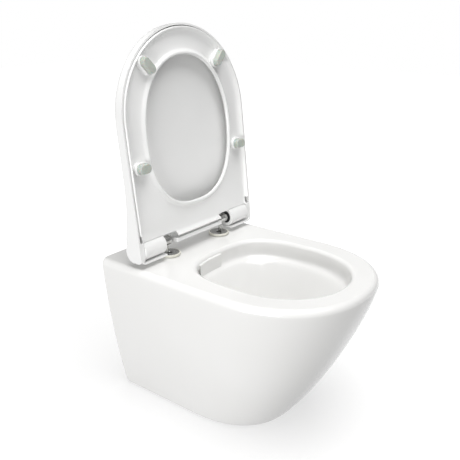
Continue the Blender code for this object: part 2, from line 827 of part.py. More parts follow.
def build_spindle(tag, side):
    r = SPINDLE_R
    collar = 0.0060
    profile = [(r, 0.1170), (r, DAMPER_OUT + 0.0006), (collar, DAMPER_OUT + 0.0006),
               (collar, 0.1480), (r, 0.1480), (r, 0.1675)]
    profile = [(radius, side * along) for radius, along in profile]
    return turned("damper_spindle_" + tag, profile, (0, AXIS_Y, AXIS_Z), "X", "nylon")


def build_bush(tag, side):
    outer = ((BUSH_R - GAP, 0.1515), (BUSH_R - GAP, 0.1686))
    inner = ((SPINDLE_R + GAP, 0.1515), (SPINDLE_R + GAP, 0.1686))
    outer = [(radius, side * along) for radius, along in outer]
    inner = [(radius, side * along) for radius, along in inner]
    return tube("ear_bush_" + tag, outer, inner, (0, AXIS_Y, AXIS_Z), "X", "nylon")


def build_bolt(tag, side):
    top = DECK_Z + 2 * GAP + GASKET_H + 0.0004
    profile = ((0.0030, top - 0.045), (0.0030, top))
    return turned("hinge_bolt_" + tag, profile, (side * SEAT_HOLE_X, SEAT_HOLE_Y, 0), "Z", "steel")


def build_anchor(tag, side):
    top = DECK_Z - 0.0010
    outer = ((0.0070, top), (0.0070, top - 0.0285), (0.0088, top - 0.0320), (0.0088, top - 0.0390),
             (0.0065, top - 0.0420))
    inner = ((0.0033, top), (0.0033, top - 0.0420))
    centre = (side * SEAT_HOLE_X, SEAT_HOLE_Y, 0)
    return tube("hinge_anchor_" + tag, outer, inner, centre, "Z", "seal_rubber")


def build_sleeve(tag, side):
    outer = ((STUD_HOLE_R - 0.0015, -0.0010), (STUD_HOLE_R - GAP, -0.0025),
             (STUD_HOLE_R - GAP, -0.0380))
    inner = ((0.0065, -0.0010), (0.0065, -0.0380))
    return tube("stud_sleeve_" + tag, outer, inner, (side * STUD_X, 0, 0), "Y", "nylon")


def build_seals():
    outer = ((INLET_R - GAP, -0.003), (INLET_R - GAP, -0.030))
    inner = ((0.0225, -0.003), (0.0205, -0.012), (0.0225, -0.021), (0.0225, -0.030))
    tube("flush_inlet_seal", outer, inner, (0, 0, INLET_Z), "Y", "seal_rubber")
    outer = ((0.0450 - GAP, -0.002), (0.0450 - GAP, -0.018))
    inner = ((0.0410, -0.002), (0.0395, -0.010), (0.0410, -0.018))
    tube("outlet_seal", outer, inner, (0, 0, OUTLET_Z), "Y", "seal_rubber")


# ---- raise the seat ----------------------------------------------------------------
def raise_seat(obj):
    """Set the closed, hinge-centred mesh on the hinge line and lift it open."""
    obj.location = (0.0, AXIS_Y, AXIS_Z)
    obj.rotation_euler = (-RAISED, 0.0, 0.0)


def shade(obj):
    """Smooth curved faces and keep real corners crisp."""
    obj.data.shade_smooth()
    obj.data.set_sharp_from_angle(angle=math.radians(32))


def main():
    clear_scene()
    for name in MATERIALS:
        make_material(name)
    build_pan()
    ring = build_ring()
    pads = build_pads()
    for pad, socket in pads:
        cut(ring, socket)
    cover = build_cover()
    cover_pads = build_cover_pads()
    for obj in [ring, cover] + [pad for pad, _ in pads] + cover_pads:
        raise_seat(obj)
    for build in (build_gasket, build_rosette, build_post, build_damper, build_spindle,
                  build_bush, build_bolt, build_anchor, build_sleeve):
        mirror_pairs(build)
    build_seals()
    for obj in bpy.data.objects:
        shade(obj)


main()
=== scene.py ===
"""Finished look of the wall-hung rimless pan and its raised soft-close seat.

Everything is in metres in the model's frame: origin on the wall plane between
the wall studs, -Y out of the wall, +Z up. Seat pieces are drawn closed about
the hinge line, as (x, s, h) with s growing away from the hinge, then raised.
"""
import json
import math

import bmesh
import bpy
from mathutils import Matrix, Vector


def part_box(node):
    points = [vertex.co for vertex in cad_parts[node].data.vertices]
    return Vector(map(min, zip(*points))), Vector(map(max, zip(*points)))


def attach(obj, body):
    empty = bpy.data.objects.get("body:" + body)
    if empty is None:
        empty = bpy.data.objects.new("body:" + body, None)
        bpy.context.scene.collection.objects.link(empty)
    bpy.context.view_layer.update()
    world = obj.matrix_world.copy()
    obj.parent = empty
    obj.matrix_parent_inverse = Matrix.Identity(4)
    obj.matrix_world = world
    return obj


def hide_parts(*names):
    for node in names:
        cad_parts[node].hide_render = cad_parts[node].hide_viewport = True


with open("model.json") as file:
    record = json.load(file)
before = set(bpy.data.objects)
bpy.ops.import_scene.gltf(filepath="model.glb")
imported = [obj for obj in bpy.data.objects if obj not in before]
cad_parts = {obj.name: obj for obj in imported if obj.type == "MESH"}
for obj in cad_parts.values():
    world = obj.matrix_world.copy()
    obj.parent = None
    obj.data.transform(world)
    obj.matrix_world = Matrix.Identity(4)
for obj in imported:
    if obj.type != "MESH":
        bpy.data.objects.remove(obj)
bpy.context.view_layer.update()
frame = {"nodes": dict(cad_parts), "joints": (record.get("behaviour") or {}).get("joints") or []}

# ---- driving sizes read from the frame ----
PAN_LOW, PAN_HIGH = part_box("pan")
DECK_Z = PAN_HIGH.z
PAN_HEIGHT = PAN_HIGH.z - PAN_LOW.z
PAN_HALF_TOP = PAN_HIGH.x
PAN_REACH_TOP = -PAN_LOW.y
AXIS_Y, AXIS_Z = frame["joints"][0]["pos_m"][1:]
RAISED = math.radians(frame["joints"][0]["range_deg"][1])
ROSETTE_LOW, ROSETTE_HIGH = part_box("hinge_rosette_right")
SEAT_HOLE_X = (ROSETTE_LOW.x + ROSETTE_HIGH.x) / 2
SEAT_HOLE_Y = (ROSETTE_LOW.y + ROSETTE_HIGH.y) / 2
ROSETTE_R = (ROSETTE_HIGH.x - ROSETTE_LOW.x) / 2
POST_LOW, POST_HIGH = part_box("hinge_post_right")
INLET_Z = DECK_Z - 0.045
STUD_X = 0.090

# ---- pan body ----
PAN_HALF_FOOT = 0.1277
PAN_REACH_FOOT = 0.3348
PAN_SIDE_TOP = 0.2934
PAN_SIDE_FOOT = 0.1832
# how the half width and the reach draw in with depth: (1 - t ** first) ** second
PAN_HALF_CURVE = (1.24, 0.80)
PAN_REACH_CURVE = (1.21, 0.88)
# plan roundness at the top, 2 being an ellipse, and what the foot adds
PAN_ROUND_TOP = 2.2
PAN_ROUND_MORE = 0.34
PAN_EDGE_R = 0.012
PAN_FOOT_R = 0.006
PAN_CORNER_R = 0.007
WALL = 0.011
BACK_WEB = 0.012
FACE_SLACK = 0.0002
HOLLOW_STEPS = (0.962, 0.90, 0.81, 0.71, 0.6, 0.48, 0.36, 0.24, 0.12, 0.012)

# ---- bowl ----
BOWL_HALF = 0.124
BOWL_REAR = -0.155
BOWL_FRONT = -0.440
BOWL_MID = -0.297
BOWL_EDGE_R = 0.008
BOWL_SHELL = 0.010
# plan roundness of the upright rear wall, 2 being an ellipse; it fades with depth
BOWL_REAR_ROUND = 3.1
BOWL_FRONT_ROUND = 2.15
BOWL_ROUND_DEPTH = 0.16
# share of a step's shift that the rear, middle and front of the bowl take
BOWL_SHIFTS = (0.35, 0.60, 1.35)
# depth below the deck, inset from the opening, shift towards the wall
BOWL_STEPS = (
    (0.008, 0.000, 0.000),
    (0.028, 0.001, 0.000),
    (0.035, 0.005, 0.000),
    (0.040, 0.013, 0.000),
    (0.052, 0.022, 0.002),
    (0.080, 0.038, 0.006),
    (0.115, 0.054, 0.012),
    (0.150, 0.068, 0.018),
    (0.185, 0.079, 0.022),
    (0.220, 0.087, 0.027),
    (0.248, 0.094, 0.032),
    (0.268, 0.103, 0.036),
    (0.281, 0.114, 0.038),
)

# ---- trapway: distance from the wall, height below the deck, bore radius ----
TRAP_STEPS = (
    (0.262, 0.258, 0.0220),
    (0.232, 0.268, 0.0235),
    (0.203, 0.262, 0.0250),
    (0.180, 0.238, 0.0270),
    (0.162, 0.204, 0.0300),
    (0.138, 0.172, 0.0330),
    (0.106, 0.161, 0.0360),
    (0.074, 0.167, 0.0400),
    (0.042, 0.178, 0.0440),
    (0.020, 0.180, 0.0450),
    (0.000, 0.180, 0.0450),
)
TRAP_SHELL = 0.008

# ---- flush inlet and its hood ----
INLET_R = 0.0275
INLET_NARROW_R = 0.0190
INLET_SHELL = 0.007
INLET_STEP_AT = 0.052
INLET_STEP_END = 0.066
INLET_REACH = 0.130
HOOD_LEFT = -0.0720
HOOD_RIGHT = 0.0030
HOOD_PROUD = 0.0050
HOOD_TOP = 0.0070
HOOD_FOOT = 0.0460
HOOD_CORNER_R = 0.0140
HOOD_EDGE_R = 0.0022
HOOD_ROOT = 0.005
CHAMBER_FRONT = -0.1462
CHAMBER_BACK = -0.1200
CHAMBER_TOP = DECK_Z - HOOD_TOP - 0.012
CHAMBER_FOOT = DECK_Z - HOOD_FOOT + 0.004
CHAMBER_SHELL = 0.008
CHAMBER_SHELL_FRONT = -0.172
HOOD_SLOT_WIDTH = 0.0085
HOOD_SLOT_FRONT = -0.190
HOOD_SLOT_BACK = -0.140

# ---- holes in the pan ----
STUD_HOLE_R = 0.0115
STUD_BOSS_R = 0.019
STUD_BOSS_DEPTH = 0.030
SEAT_HOLE_R = 0.0075
SEAT_LUG_R = 0.017
SEAT_LUG_DEPTH = 0.028
HOLE_DEPTH = 0.040
WINDOW_IN = 0.064
WINDOW_OUT = 0.116
WINDOW_TOP = DECK_Z - 0.112
WINDOW_FOOT = DECK_Z - 0.262
WINDOW_DEPTH = 0.030
WINDOW_R = 0.004
PAST = 0.010

# ---- seat ring ----
RING_HALF_REAR = 0.1665
RING_HALF = 0.1695
RING_ARC_AT = 0.235
RING_ARC_REACH = 0.168
RING_REAR = 0.007
RING_UNDER = -0.020
RING_LIP = 0.0035
RING_CORNER_R = 0.014
HOLE_HALF = 0.1175
HOLE_REAR = 0.0670
HOLE_FRONT = 0.3500
HOLE_FRONT_ROUND = 2.12
HOLE_REAR_ROUND = 2.45
BARREL_R = 0.020
BARREL_BORE_R = 0.0135
BARREL_IN = 0.103
BARREL_OUT = 0.160
BARREL_NECK = 0.0176
BARREL_EDGE_R = 0.0012
BARREL_BORE_OUT = 0.1500
RING_CLEAR_R = 0.0185
RING_CLEAR_HALF = 0.1026
RING_TRIM_IN = 0.1020
SEAT_OUT = 0.19
# how far the box cutters for the seat run past it
BEYOND = 0.05
RING_CUT_LOW = -0.040
COVER_CUT_LOW = -0.030
SEAT_CUT_TOP = 0.040
NOTCH_REACH = 0.033
POCKET_IN = 0.0660
POCKET_OUT = 0.1028
POCKET_REACH = 0.0170
POCKET_BOTTOM = -0.0080
POCKET_R = 0.0035

# ---- cover ----
COVER_HALF_REAR = 0.1720
COVER_HALF = 0.1745
COVER_ARC_REACH = 0.1735
COVER_REAR = -0.0235
COVER_CORNER_R = 0.012
COVER_LIP_H = -0.0170
COVER_SKIN = 0.0036
COVER_EDGE_R = 0.009
COVER_HEEL_R = 0.026
COVER_BASE_H = 0.0060
COVER_HUMP_H = 0.0165
COVER_HUMP_AT = 0.008
COVER_HUMP_S = 0.062
COVER_DOME = 0.003
HEEL_CENTRE_S = -0.006
HEEL_FRONT_S = 0.002
HEEL_TOP_H = 0.020
HEEL_EDGE_R = 0.001
SLOT_IN = 0.0705
SLOT_OUT = 0.1025
SLOT_REACH = 0.0088
EAR_IN = 0.1608
EAR_OUT = 0.1705
EAR_REACH = 0.018
BUSH_R = 0.0080
BUSH_OUT = 0.1690
BARREL_CLEAR_R = 0.0205
HEEL_BACK_R = 0.0217

# ---- hinge discs and posts ----
# width of the disc's rim that is painted cream as a painted highlight
ROSETTE_RIM = 0.0024
ROSETTE_EDGE_R = 0.0016
ROSETTE_BORE_R = 0.0048
ROSETTE_DISH = 0.0008
SOCKET_FLOOR = 0.0008
HEAD_IN = POST_LOW.x
HEAD_OUT = 0.1020
HEAD_R = 0.0095
HEAD_EDGE_R = 0.0014
SPIGOT_R = 0.0060
STEM_X = 0.0840
STEM_R = 0.0038
RECESS_R = 0.0030
RECESS_DEPTH = 0.0040

# ---- buffers ----
GAP = 0.0003
PAD_FRONT_ANGLE = math.radians(44.0)
PAD_FRONT_REACH = 0.1420
PAD_FRONT_SIZE = (0.036, 0.016)
PAD_REAR_S = 0.156
PAD_REAR_X = 0.1425
PAD_REAR_SIZE = (0.028, 0.018)
PAD_OVAL = 1.03
PAD_ROOT_H = -0.0140
PAD_BOSS_MARGIN = 0.006
PAD_BOSS_ROOT_H = -0.0080
PAD_BOSS_EDGE_R = 0.0014
PAD_EDGE_R = 0.0026
COVER_PAD_ANGLE = math.radians(30.0)
COVER_PAD_REACH = 0.150
COVER_PAD_SIZE = (0.0121, 0.0120)
COVER_PAD_FOOT_H = -0.0030
COVER_PAD_EDGE_R = 0.0022

# ---- facets ----
AROUND_PAN = 44
AROUND_BOWL = 144
AROUND_SEAT = 248
AROUND_BARREL = 96
AROUND_PIN = 64

# ---- studio ----
CAMERA_AT = Vector((-0.95345, -0.93048, 0.56423))
CAMERA_AIM = Vector((-0.02012, -0.2, 0.13951))
CAMERA_LENS = 50.82
FLOOR_Z = PAN_LOW.z - 0.0006
FLOOR_HALF = 6.0
FLOOR_GLOW = 0.57
GLOW_NEAR = 0.45
GLOW_FAR = 1.8
SKY_LIGHT = 0.34
LIGHT_AIM = Vector((0.0, -0.22, 0.10))
# name, place, width, height, watts, seen in reflections
LIGHTS = (
    ("key", (-2.3, -0.62, 0.04), 1.6, 0.5, 33.0, True),
    ("top", (-0.1, -0.62, 2.3), 1.8, 1.8, 48.0, True),
    ("back", (2.0, 1.3, 0.6), 1.6, 1.0, 22.0, False),
)

SIDES = (("left", -1.0), ("right", 1.0))
# angles that round an edge over a quarter turn
QUARTER = (0.0, 0.4, 0.8, 1.2, math.pi / 2)


# ---- materials ----
class Shader:
    """A Principled material built up node by node."""

    def __init__(self, name, **constants):
        self.material = bpy.data.materials.new(name)
        self.material.use_nodes = True
        self.tree = self.material.node_tree
        self.bsdf = self.tree.nodes["Principled BSDF"]
        for socket, value in constants.items():
            self.bsdf.inputs[socket.replace("_", " ")].default_value = value
        self.place = self.node("ShaderNodeTexCoord").outputs["Object"]

    def node(self, kind, **settings):
        node = self.tree.nodes.new(kind)
        for key, value in settings.items():
            setattr(node, key, value)
        return node

    def link(self, source, target):
        self.tree.links.new(source, target)

    def noise(self, scale, detail=3.0, stretch=(1, 1, 1)):
        mapping = self.node("ShaderNodeMapping")
        mapping.inputs["Scale"].default_value = stretch
        self.link(self.place, mapping.inputs["Vector"])
        noise = self.node("ShaderNodeTexNoise")
        noise.inputs["Scale"].default_value = scale
        noise.inputs["Detail"].default_value = detail
        self.link(mapping.outputs["Vector"], noise.inputs["Vector"])
        return noise.outputs["Fac"]

    def ramp(self, source, *stops):
        ramp = self.node("ShaderNodeValToRGB")
        elements = ramp.color_ramp.elements
        while len(elements) < len(stops):
            elements.new(0.5)
        for element, (position, colour) in zip(elements, stops):
            element.position = position
            element.color = (*colour, 1.0)
        self.link(source, ramp.inputs["Fac"])
        return ramp.outputs["Color"]

    def span(self, source, low, high, start=0.35, stop=0.65):
        node = self.node("ShaderNodeMapRange")
        for socket, value in (("From Min", start), ("From Max", stop), ("To Min", low),
                              ("To Max", high)):
            node.inputs[socket].default_value = value
        self.link(source, node.inputs["Value"])
        return node.outputs["Result"]

    def mix(self, factor, first, second):
        node = self.node("ShaderNodeMix", data_type="RGBA")
        for socket, value in ((node.inputs["Factor"], factor), (node.inputs["A"], first),
                              (node.inputs["B"], second)):
            self.feed(value, socket)
        return node.outputs["Result"]

    def feed(self, value, socket):
        if isinstance(value, bpy.types.NodeSocket):
            self.link(value, socket)
        else:
            socket.default_value = value

    def bump(self, *layers):
        """Stack (height source, strength, distance) layers into the normal."""
        normal = None
        for height, strength, distance in layers:
            node = self.node("ShaderNodeBump")
            node.inputs["Strength"].default_value = strength
            node.inputs["Distance"].default_value = distance
            self.link(height, node.inputs["Height"])
            if normal is not None:
                self.link(normal, node.inputs["Normal"])
            normal = node.outputs["Normal"]
        self.link(normal, self.bsdf.inputs["Normal"])

    def colour(self, source):
        self.link(source, self.bsdf.inputs["Base Color"])

    def rough(self, source):
        self.link(source, self.bsdf.inputs["Roughness"])


def glazed_ceramic():
    """Thick white glaze: faint pooling, soft waviness and a few pinholes."""
    shader = Shader("glazed_ceramic", Coat_Weight=0.30, Coat_Roughness=0.08, IOR=1.50)
    pooling = shader.ramp(shader.noise(5.0, 2.0), (0.30, (0.845, 0.842, 0.828)),
                          (0.70, (0.872, 0.869, 0.858)))
    specks = shader.node("ShaderNodeTexVoronoi")
    specks.inputs["Scale"].default_value = 42.0
    shader.link(shader.place, specks.inputs["Vector"])
    pinhole = shader.span(specks.outputs["Distance"], 1.0, 0.0, 0.010, 0.022)
    shader.colour(shader.mix(pinhole, pooling, (0.74, 0.72, 0.68, 1.0)))
    shader.rough(shader.span(shader.noise(9.0, 4.0), 0.12, 0.20))
    shader.bump((shader.noise(11.0, 1.0), 0.10, 0.0016), (shader.noise(420.0, 2.0), 0.05, 0.0001),
                (shader.span(pinhole, 1.0, 0.0, 0.0, 1.0), 0.10, 0.0002))
    return shader.material


def raw_ceramic():
    """Unglazed fired clay inside the body and on the wall face."""
    shader = Shader("raw_ceramic")
    shader.colour(shader.ramp(shader.noise(60.0, 6.0), (0.30, (0.66, 0.63, 0.57)),
                              (0.72, (0.76, 0.74, 0.69))))
    shader.rough(shader.span(shader.noise(30.0), 0.62, 0.86))
    shader.bump((shader.noise(900.0, 5.0), 0.35, 0.0003), (shader.noise(35.0, 2.0), 0.2, 0.0008))
    return shader.material


def seat_plastic():
    """White moulded thermoset with the slight orange peel of the mould."""
    shader = Shader("seat_plastic", Coat_Weight=0.20, Coat_Roughness=0.08, IOR=1.50)
    shader.colour(shader.ramp(shader.noise(7.0, 2.0), (0.30, (0.858, 0.860, 0.852)),
                              (0.70, (0.880, 0.880, 0.874))))
    wipe = shader.noise(26.0, 4.0, (1.0, 0.2, 1.0))
    shader.rough(shader.span(wipe, 0.17, 0.27))
    shader.bump((shader.noise(380.0, 2.0), 0.06, 0.00012), (shader.noise(16.0, 1.0), 0.06, 0.0008))
    return shader.material


def buffer_rubber():
    """Soft grey-green translucent buffer, slightly dusty and scuffed."""
    shader = Shader("buffer_rubber", Subsurface_Weight=0.25, Subsurface_Scale=0.004, IOR=1.45)
    shader.colour(shader.ramp(shader.noise(140.0, 4.0), (0.30, (0.43, 0.46, 0.42)),
                              (0.72, (0.52, 0.55, 0.50))))
    shader.rough(shader.span(shader.noise(230.0, 3.0), 0.42, 0.62))
    shader.bump((shader.noise(1500.0, 3.0), 0.20, 0.00015), (shader.noise(150.0, 2.0), 0.1, 0.0003))
    return shader.material


def chrome():
    """Bright plating with hairline wipe marks and a little water haze."""
    shader = Shader("chrome", Metallic=1.0)
    haze = shader.noise(120.0, 4.0)
    shader.colour(shader.ramp(haze, (0.35, (0.46, 0.46, 0.45)), (0.65, (0.60, 0.60, 0.59))))
    hairline = shader.noise(300.0, 3.0, (1.0, 14.0, 1.0))
    shader.rough(shader.span(hairline, 0.09, 0.24))
    shader.bump((hairline, 0.05, 0.00005), (shader.noise(60.0, 1.0), 0.05, 0.0002))
    return shader.material


def steel():
    """Plain drawn steel with turning marks."""
    shader = Shader("steel", Metallic=1.0)
    marks = shader.noise(900.0, 3.0, (1.0, 1.0, 6.0))
    shader.colour(shader.ramp(marks, (0.30, (0.44, 0.44, 0.45)), (0.70, (0.58, 0.58, 0.58))))
    shader.rough(shader.span(marks, 0.26, 0.44))
    shader.bump((marks, 0.20, 0.0001))
    return shader.material


def black_plastic():
    """Fine-textured black moulding, also painted into the pin heads' end recesses as painted shade.
    """
    shader = Shader("black_plastic", IOR=1.48)
    grain = shader.noise(1300.0, 4.0)
    shader.colour(shader.ramp(shader.noise(90.0), (0.3, (0.022, 0.022, 0.024)),
                              (0.7, (0.040, 0.040, 0.042))))
    shader.rough(shader.span(grain, 0.38, 0.55))
    shader.bump((grain, 0.25, 0.0002))
    return shader.material


def seal_rubber():
    """Matt black sealing rubber with chalky bloom."""
    shader = Shader("seal_rubber", IOR=1.46)
    bloom = shader.noise(70.0, 5.0)
    shader.colour(shader.ramp(bloom, (0.35, (0.018, 0.018, 0.019)), (0.75, (0.050, 0.049, 0.048))))
    shader.rough(shader.span(bloom, 0.58, 0.80))
    shader.bump((shader.noise(1600.0, 4.0), 0.30, 0.0002))
    return shader.material


def nylon():
    """Natural nylon, cloudy and faintly waxy."""
    shader = Shader("nylon", Subsurface_Weight=0.15, Subsurface_Scale=0.003, IOR=1.53)
    cloud = shader.noise(80.0, 4.0)
    shader.colour(shader.ramp(cloud, (0.30, (0.58, 0.58, 0.53)), (0.70, (0.68, 0.67, 0.62))))
    shader.rough(shader.span(cloud, 0.40, 0.58))
    shader.bump((shader.noise(1200.0, 3.0), 0.15, 0.00015))
    return shader.material


def pale_plastic_and_rim_highlight():
    """Cream satin moulding under the plated hinge discs, also painted on the discs' rims as a
    painted highlight.
    """
    shader = Shader("pale_plastic_and_rim_highlight", IOR=1.48)
    cloud = shader.noise(95.0, 3.0)
    shader.colour(shader.ramp(cloud, (0.30, (0.70, 0.69, 0.61)), (0.70, (0.78, 0.77, 0.70))))
    shader.rough(shader.span(cloud, 0.34, 0.48))
    shader.bump((shader.noise(1100.0, 3.0), 0.15, 0.00015))
    return shader.material


# ---- mesh tools ----
def link_mesh(name, bm, material=None):
    """Turn a bmesh into a linked object."""
    bmesh.ops.recalc_face_normals(bm, faces=bm.faces)
    mesh = bpy.data.meshes.new(name)
    bm.to_mesh(mesh)
    bm.free()
    obj = bpy.data.objects.new(name, mesh)
    bpy.context.scene.collection.objects.link(obj)
    if material is not None:
        mesh.materials.append(material)
    return obj


def loft(name, loops, material=None, point_ends=False, ring=False):
    """Skin a row of equal loops; ends close flat, on a centre point, or on themselves."""
    bm = bmesh.new()
    rows = [[bm.verts.new(p) for p in loop] for loop in loops]
    count = len(rows[0])
    pairs = list(zip(rows, rows[1:]))
    if ring:
        pairs.append((rows[-1], rows[0]))
    for low, high in pairs:
        for i in range(count):
            j = (i + 1) % count
            bm.faces.new((low[i], low[j], high[j], high[i]))
    if not ring:
        for row in (rows[0], rows[-1]):
            if point_ends:
                middle = sum((v.co for v in row), Vector()) / count
                tip = bm.verts.new(middle)
                for i in range(count):
                    bm.faces.new((row[i], row[(i + 1) % count], tip))
            else:
                bm.faces.new(row)
    return link_mesh(name, bm, material)


def apply_modifiers(obj):
    depsgraph = bpy.context.evaluated_depsgraph_get()
    result = bpy.data.meshes.new_from_object(obj.evaluated_get(depsgraph))
    obj.modifiers.clear()
    obj.data = result


def apply_boolean(target, cutter, operation):
    modifier = target.modifiers.new(operation.lower(), "BOOLEAN")
    modifier.operation = operation
    modifier.solver = "EXACT"
    modifier.material_mode = "TRANSFER"
    modifier.object = cutter
    apply_modifiers(target)
    bpy.data.objects.remove(cutter, do_unlink=True)


def cut(target, *cutters):
    for cutter in cutters:
        apply_boolean(target, cutter, "DIFFERENCE")


def join(target, *others):
    for other in others:
        apply_boolean(target, other, "UNION")


def box(name, low, high, material=None, bevel=0.0):
    bm = bmesh.new()
    bmesh.ops.create_cube(bm, size=1.0)
    size = Vector(high) - Vector(low)
    centre = (Vector(high) + Vector(low)) / 2
    for vert in bm.verts:
        vert.co = Vector((vert.co.x * size.x, vert.co.y * size.y, vert.co.z * size.z)) + centre
    if bevel:
        bmesh.ops.bevel(bm, geom=bm.edges[:], offset=bevel, segments=4, profile=0.5,
                        affect="EDGES")
    return link_mesh(name, bm, material)


def around(radius, along, centre, axis, count):
    """Circle of points about an axis through centre."""
    loop = []
    for i in range(count):
        angle = 2 * math.pi * i / count
        a = radius * math.cos(angle)
        b = radius * math.sin(angle)
        point = {"X": (along, a, b), "Y": (a, along, b), "Z": (a, b, along)}[axis]
        loop.append(Vector(point) + Vector(centre))
    return loop


def turned(name, profile, centre, axis, material=None, count=AROUND_PIN):
    """Turn (radius, distance) pairs about a line; radius above zero throughout."""
    loops = [around(radius, along, centre, axis, count) for radius, along in profile]
    return loft(name, loops, material)


def tube(name, section, centre, axis, material, count=AROUND_PIN):
    """Turn a closed section that keeps clear of the line."""
    loops = [around(radius, along, centre, axis, count) for radius, along in section]
    return loft(name, loops, material, ring=True)


def rounded(section, passes=2, closed=True):
    """Cut the corners of a polyline so that they read as small radii."""
    for _ in range(passes):
        soft = []
        ends = section[1:] + section[:1] if closed else section[1:]
        if not closed:
            soft.append(section[0])
        for a, b in zip(section, ends):
            soft.append(tuple(p * 0.75 + q * 0.25 for p, q in zip(a, b)))
            soft.append(tuple(p * 0.25 + q * 0.75 for p, q in zip(a, b)))
        if not closed:
            soft.append(section[-1])
        section = soft
    return section


def smooth_rows(rows, per_step):
    """Catmull-Rom rows through the given ones."""
    result = []
    for i in range(len(rows) - 1):
        a = rows[max(i - 1, 0)]
        b, c = rows[i], rows[i + 1]
        d = rows[min(i + 2, len(rows) - 1)]
        for k in range(per_step):
            t = k / per_step
            result.append(tuple(
                q + t * ((r - p) / 2 + t * (p - 2.5 * q + 2 * r - s / 2
                                            + t * (1.5 * (q - r) + (s - p) / 2)))
                for p, q, r, s in zip(a, b, c, d)))
    result.append(rows[-1])
    return result


def signed_power(value, power):
    return math.copysign(abs(value) ** power, value)


# ---- pan ----
def pan_section(t, inset=0.0, back=0.0):
    """Plan outline of the pan at depth fraction t, drawn in by inset."""
    first, second = PAN_HALF_CURVE
    half = PAN_HALF_FOOT + (PAN_HALF_TOP - PAN_HALF_FOOT) * (1 - t ** first) ** second - inset
    first, second = PAN_REACH_CURVE
    reach = PAN_REACH_FOOT + (PAN_REACH_TOP - PAN_REACH_FOOT) * (1 - t ** first) ** second - inset
    side = PAN_SIDE_TOP + (PAN_SIDE_FOOT - PAN_SIDE_TOP) * t
    power = 2 / (PAN_ROUND_TOP + PAN_ROUND_MORE * t)
    corner = PAN_CORNER_R
    right = []
    for k in range(9):
        angle = math.pi / 2 * (1 - k / 8)
        right.append((half - corner + corner * math.cos(angle),
                      back - corner + corner * math.sin(angle)))
    right += [(half, -side * k / 8) for k in range(1, 8)]
    for k in range(AROUND_PAN):
        angle = math.pi / 2 * k / AROUND_PAN
        right.append((half * signed_power(math.cos(angle), power),
                      -side - (reach - side) * math.sin(angle) ** power))
    return right + [(0.0, -reach)] + [(-x, y) for x, y in reversed(right)]


def pan_outer(glaze):
    """Outside of the pan, with its foot and its top edge rounded over."""
    depth = PAN_HEIGHT - PAN_EDGE_R
    top = DECK_Z - PAN_EDGE_R
    loops = []
    steps = 5
    foot_share = PAN_FOOT_R / depth
    for k in range(steps):
        angle = math.pi / 2 * k / steps
        inset = PAN_FOOT_R * (1 - math.sin(angle))
        t = 1 - foot_share * (1 - math.cos(angle))
        loops.append([Vector((x, y, top - depth * t)) for x, y in pan_section(t, inset)])
    rows = 36
    for k in range(rows):
        t = (1 - foot_share) * (1 - k / rows) ** 1.15
        loops.append([Vector((x, y, top - depth * t)) for x, y in pan_section(t)])
    for k in range(11):
        angle = math.pi / 2 * k / 10
        inset = PAN_EDGE_R * (1 - math.cos(angle))
        z = top + PAN_EDGE_R * math.sin(angle)
        loops.append([Vector((x, y, z)) for x, y in pan_section(0.0, inset)])
    return loft("pan_body", loops, glaze)


def pan_hollow(clay):
    """Space inside the walls."""
    depth = PAN_HEIGHT - PAN_EDGE_R
    loops = []
    for t in HOLLOW_STEPS:
        z = DECK_Z - PAN_EDGE_R - depth * t
        loops.append([Vector((x, y, z)) for x, y in pan_section(t, WALL, -BACK_WEB)])
    return loft("hollow", loops, clay)


def bowl_loop(depth, inset, shift, grow=0.0):
    """Outline of the bowl at one depth, grown outwards for the china round it."""
    rear_share, middle_share, front_share = BOWL_SHIFTS
    rear = BOWL_REAR - inset + grow + shift * rear_share
    front = BOWL_FRONT + inset - grow + shift * front_share
    half = BOWL_HALF - inset + grow
    middle = BOWL_MID + shift * middle_share
    fade = max(0.0, 1 - depth / BOWL_ROUND_DEPTH)
    loop = []
    for i in range(AROUND_BOWL):
        angle = 2 * math.pi * i / AROUND_BOWL
        c = math.cos(angle)
        s = math.sin(angle)
        if s >= 0:
            power = 2 / (2.0 + (BOWL_REAR_ROUND - 2.0) * fade)
            y = middle + (rear - middle) * s ** power
        else:
            power = 2 / (2.0 + (BOWL_FRONT_ROUND - 2.0) * fade)
            y = middle + (front - middle) * (-s) ** power
        loop.append(Vector((half * signed_power(c, power), y, DECK_Z - depth)))
    return loop


def bowl_cavity(glaze):
    """Space inside the bowl, flaring out at the rounded rim."""
    loops = [bowl_loop(-0.006, -BOWL_EDGE_R, 0.0)]
    for k in range(9):
        angle = math.pi / 2 * k / 8
        inset = -BOWL_EDGE_R * (1 - math.sin(angle))
        loops.append(bowl_loop(BOWL_EDGE_R * (1 - math.cos(angle)), inset, 0.0))
    for depth, inset, shift in smooth_rows(list(BOWL_STEPS), 4)[1:]:
        loops.append(bowl_loop(depth, inset, shift))
    return loft("cavity", loops, glaze)


def bowl_shell(clay):
    """China left standing round the bowl."""
    rows = list(BOWL_STEPS[1:])
    loops = [bowl_loop(0.004, 0.0, 0.0, BOWL_SHELL), bowl_loop(0.020, 0.0, 0.0, BOWL_SHELL)]
    for depth, inset, shift in rows[1:-1]:
        loops.append(bowl_loop(depth + 0.006, inset, shift, BOWL_SHELL))
    depth, inset, shift = rows[-1]
    loops.append(bowl_loop(depth + 0.010, inset, shift, BOWL_SHELL))
    loops.append(bowl_loop(depth + 0.0305, inset + 0.004, shift, BOWL_SHELL))
    return loft("bowl_shell", loops, clay)


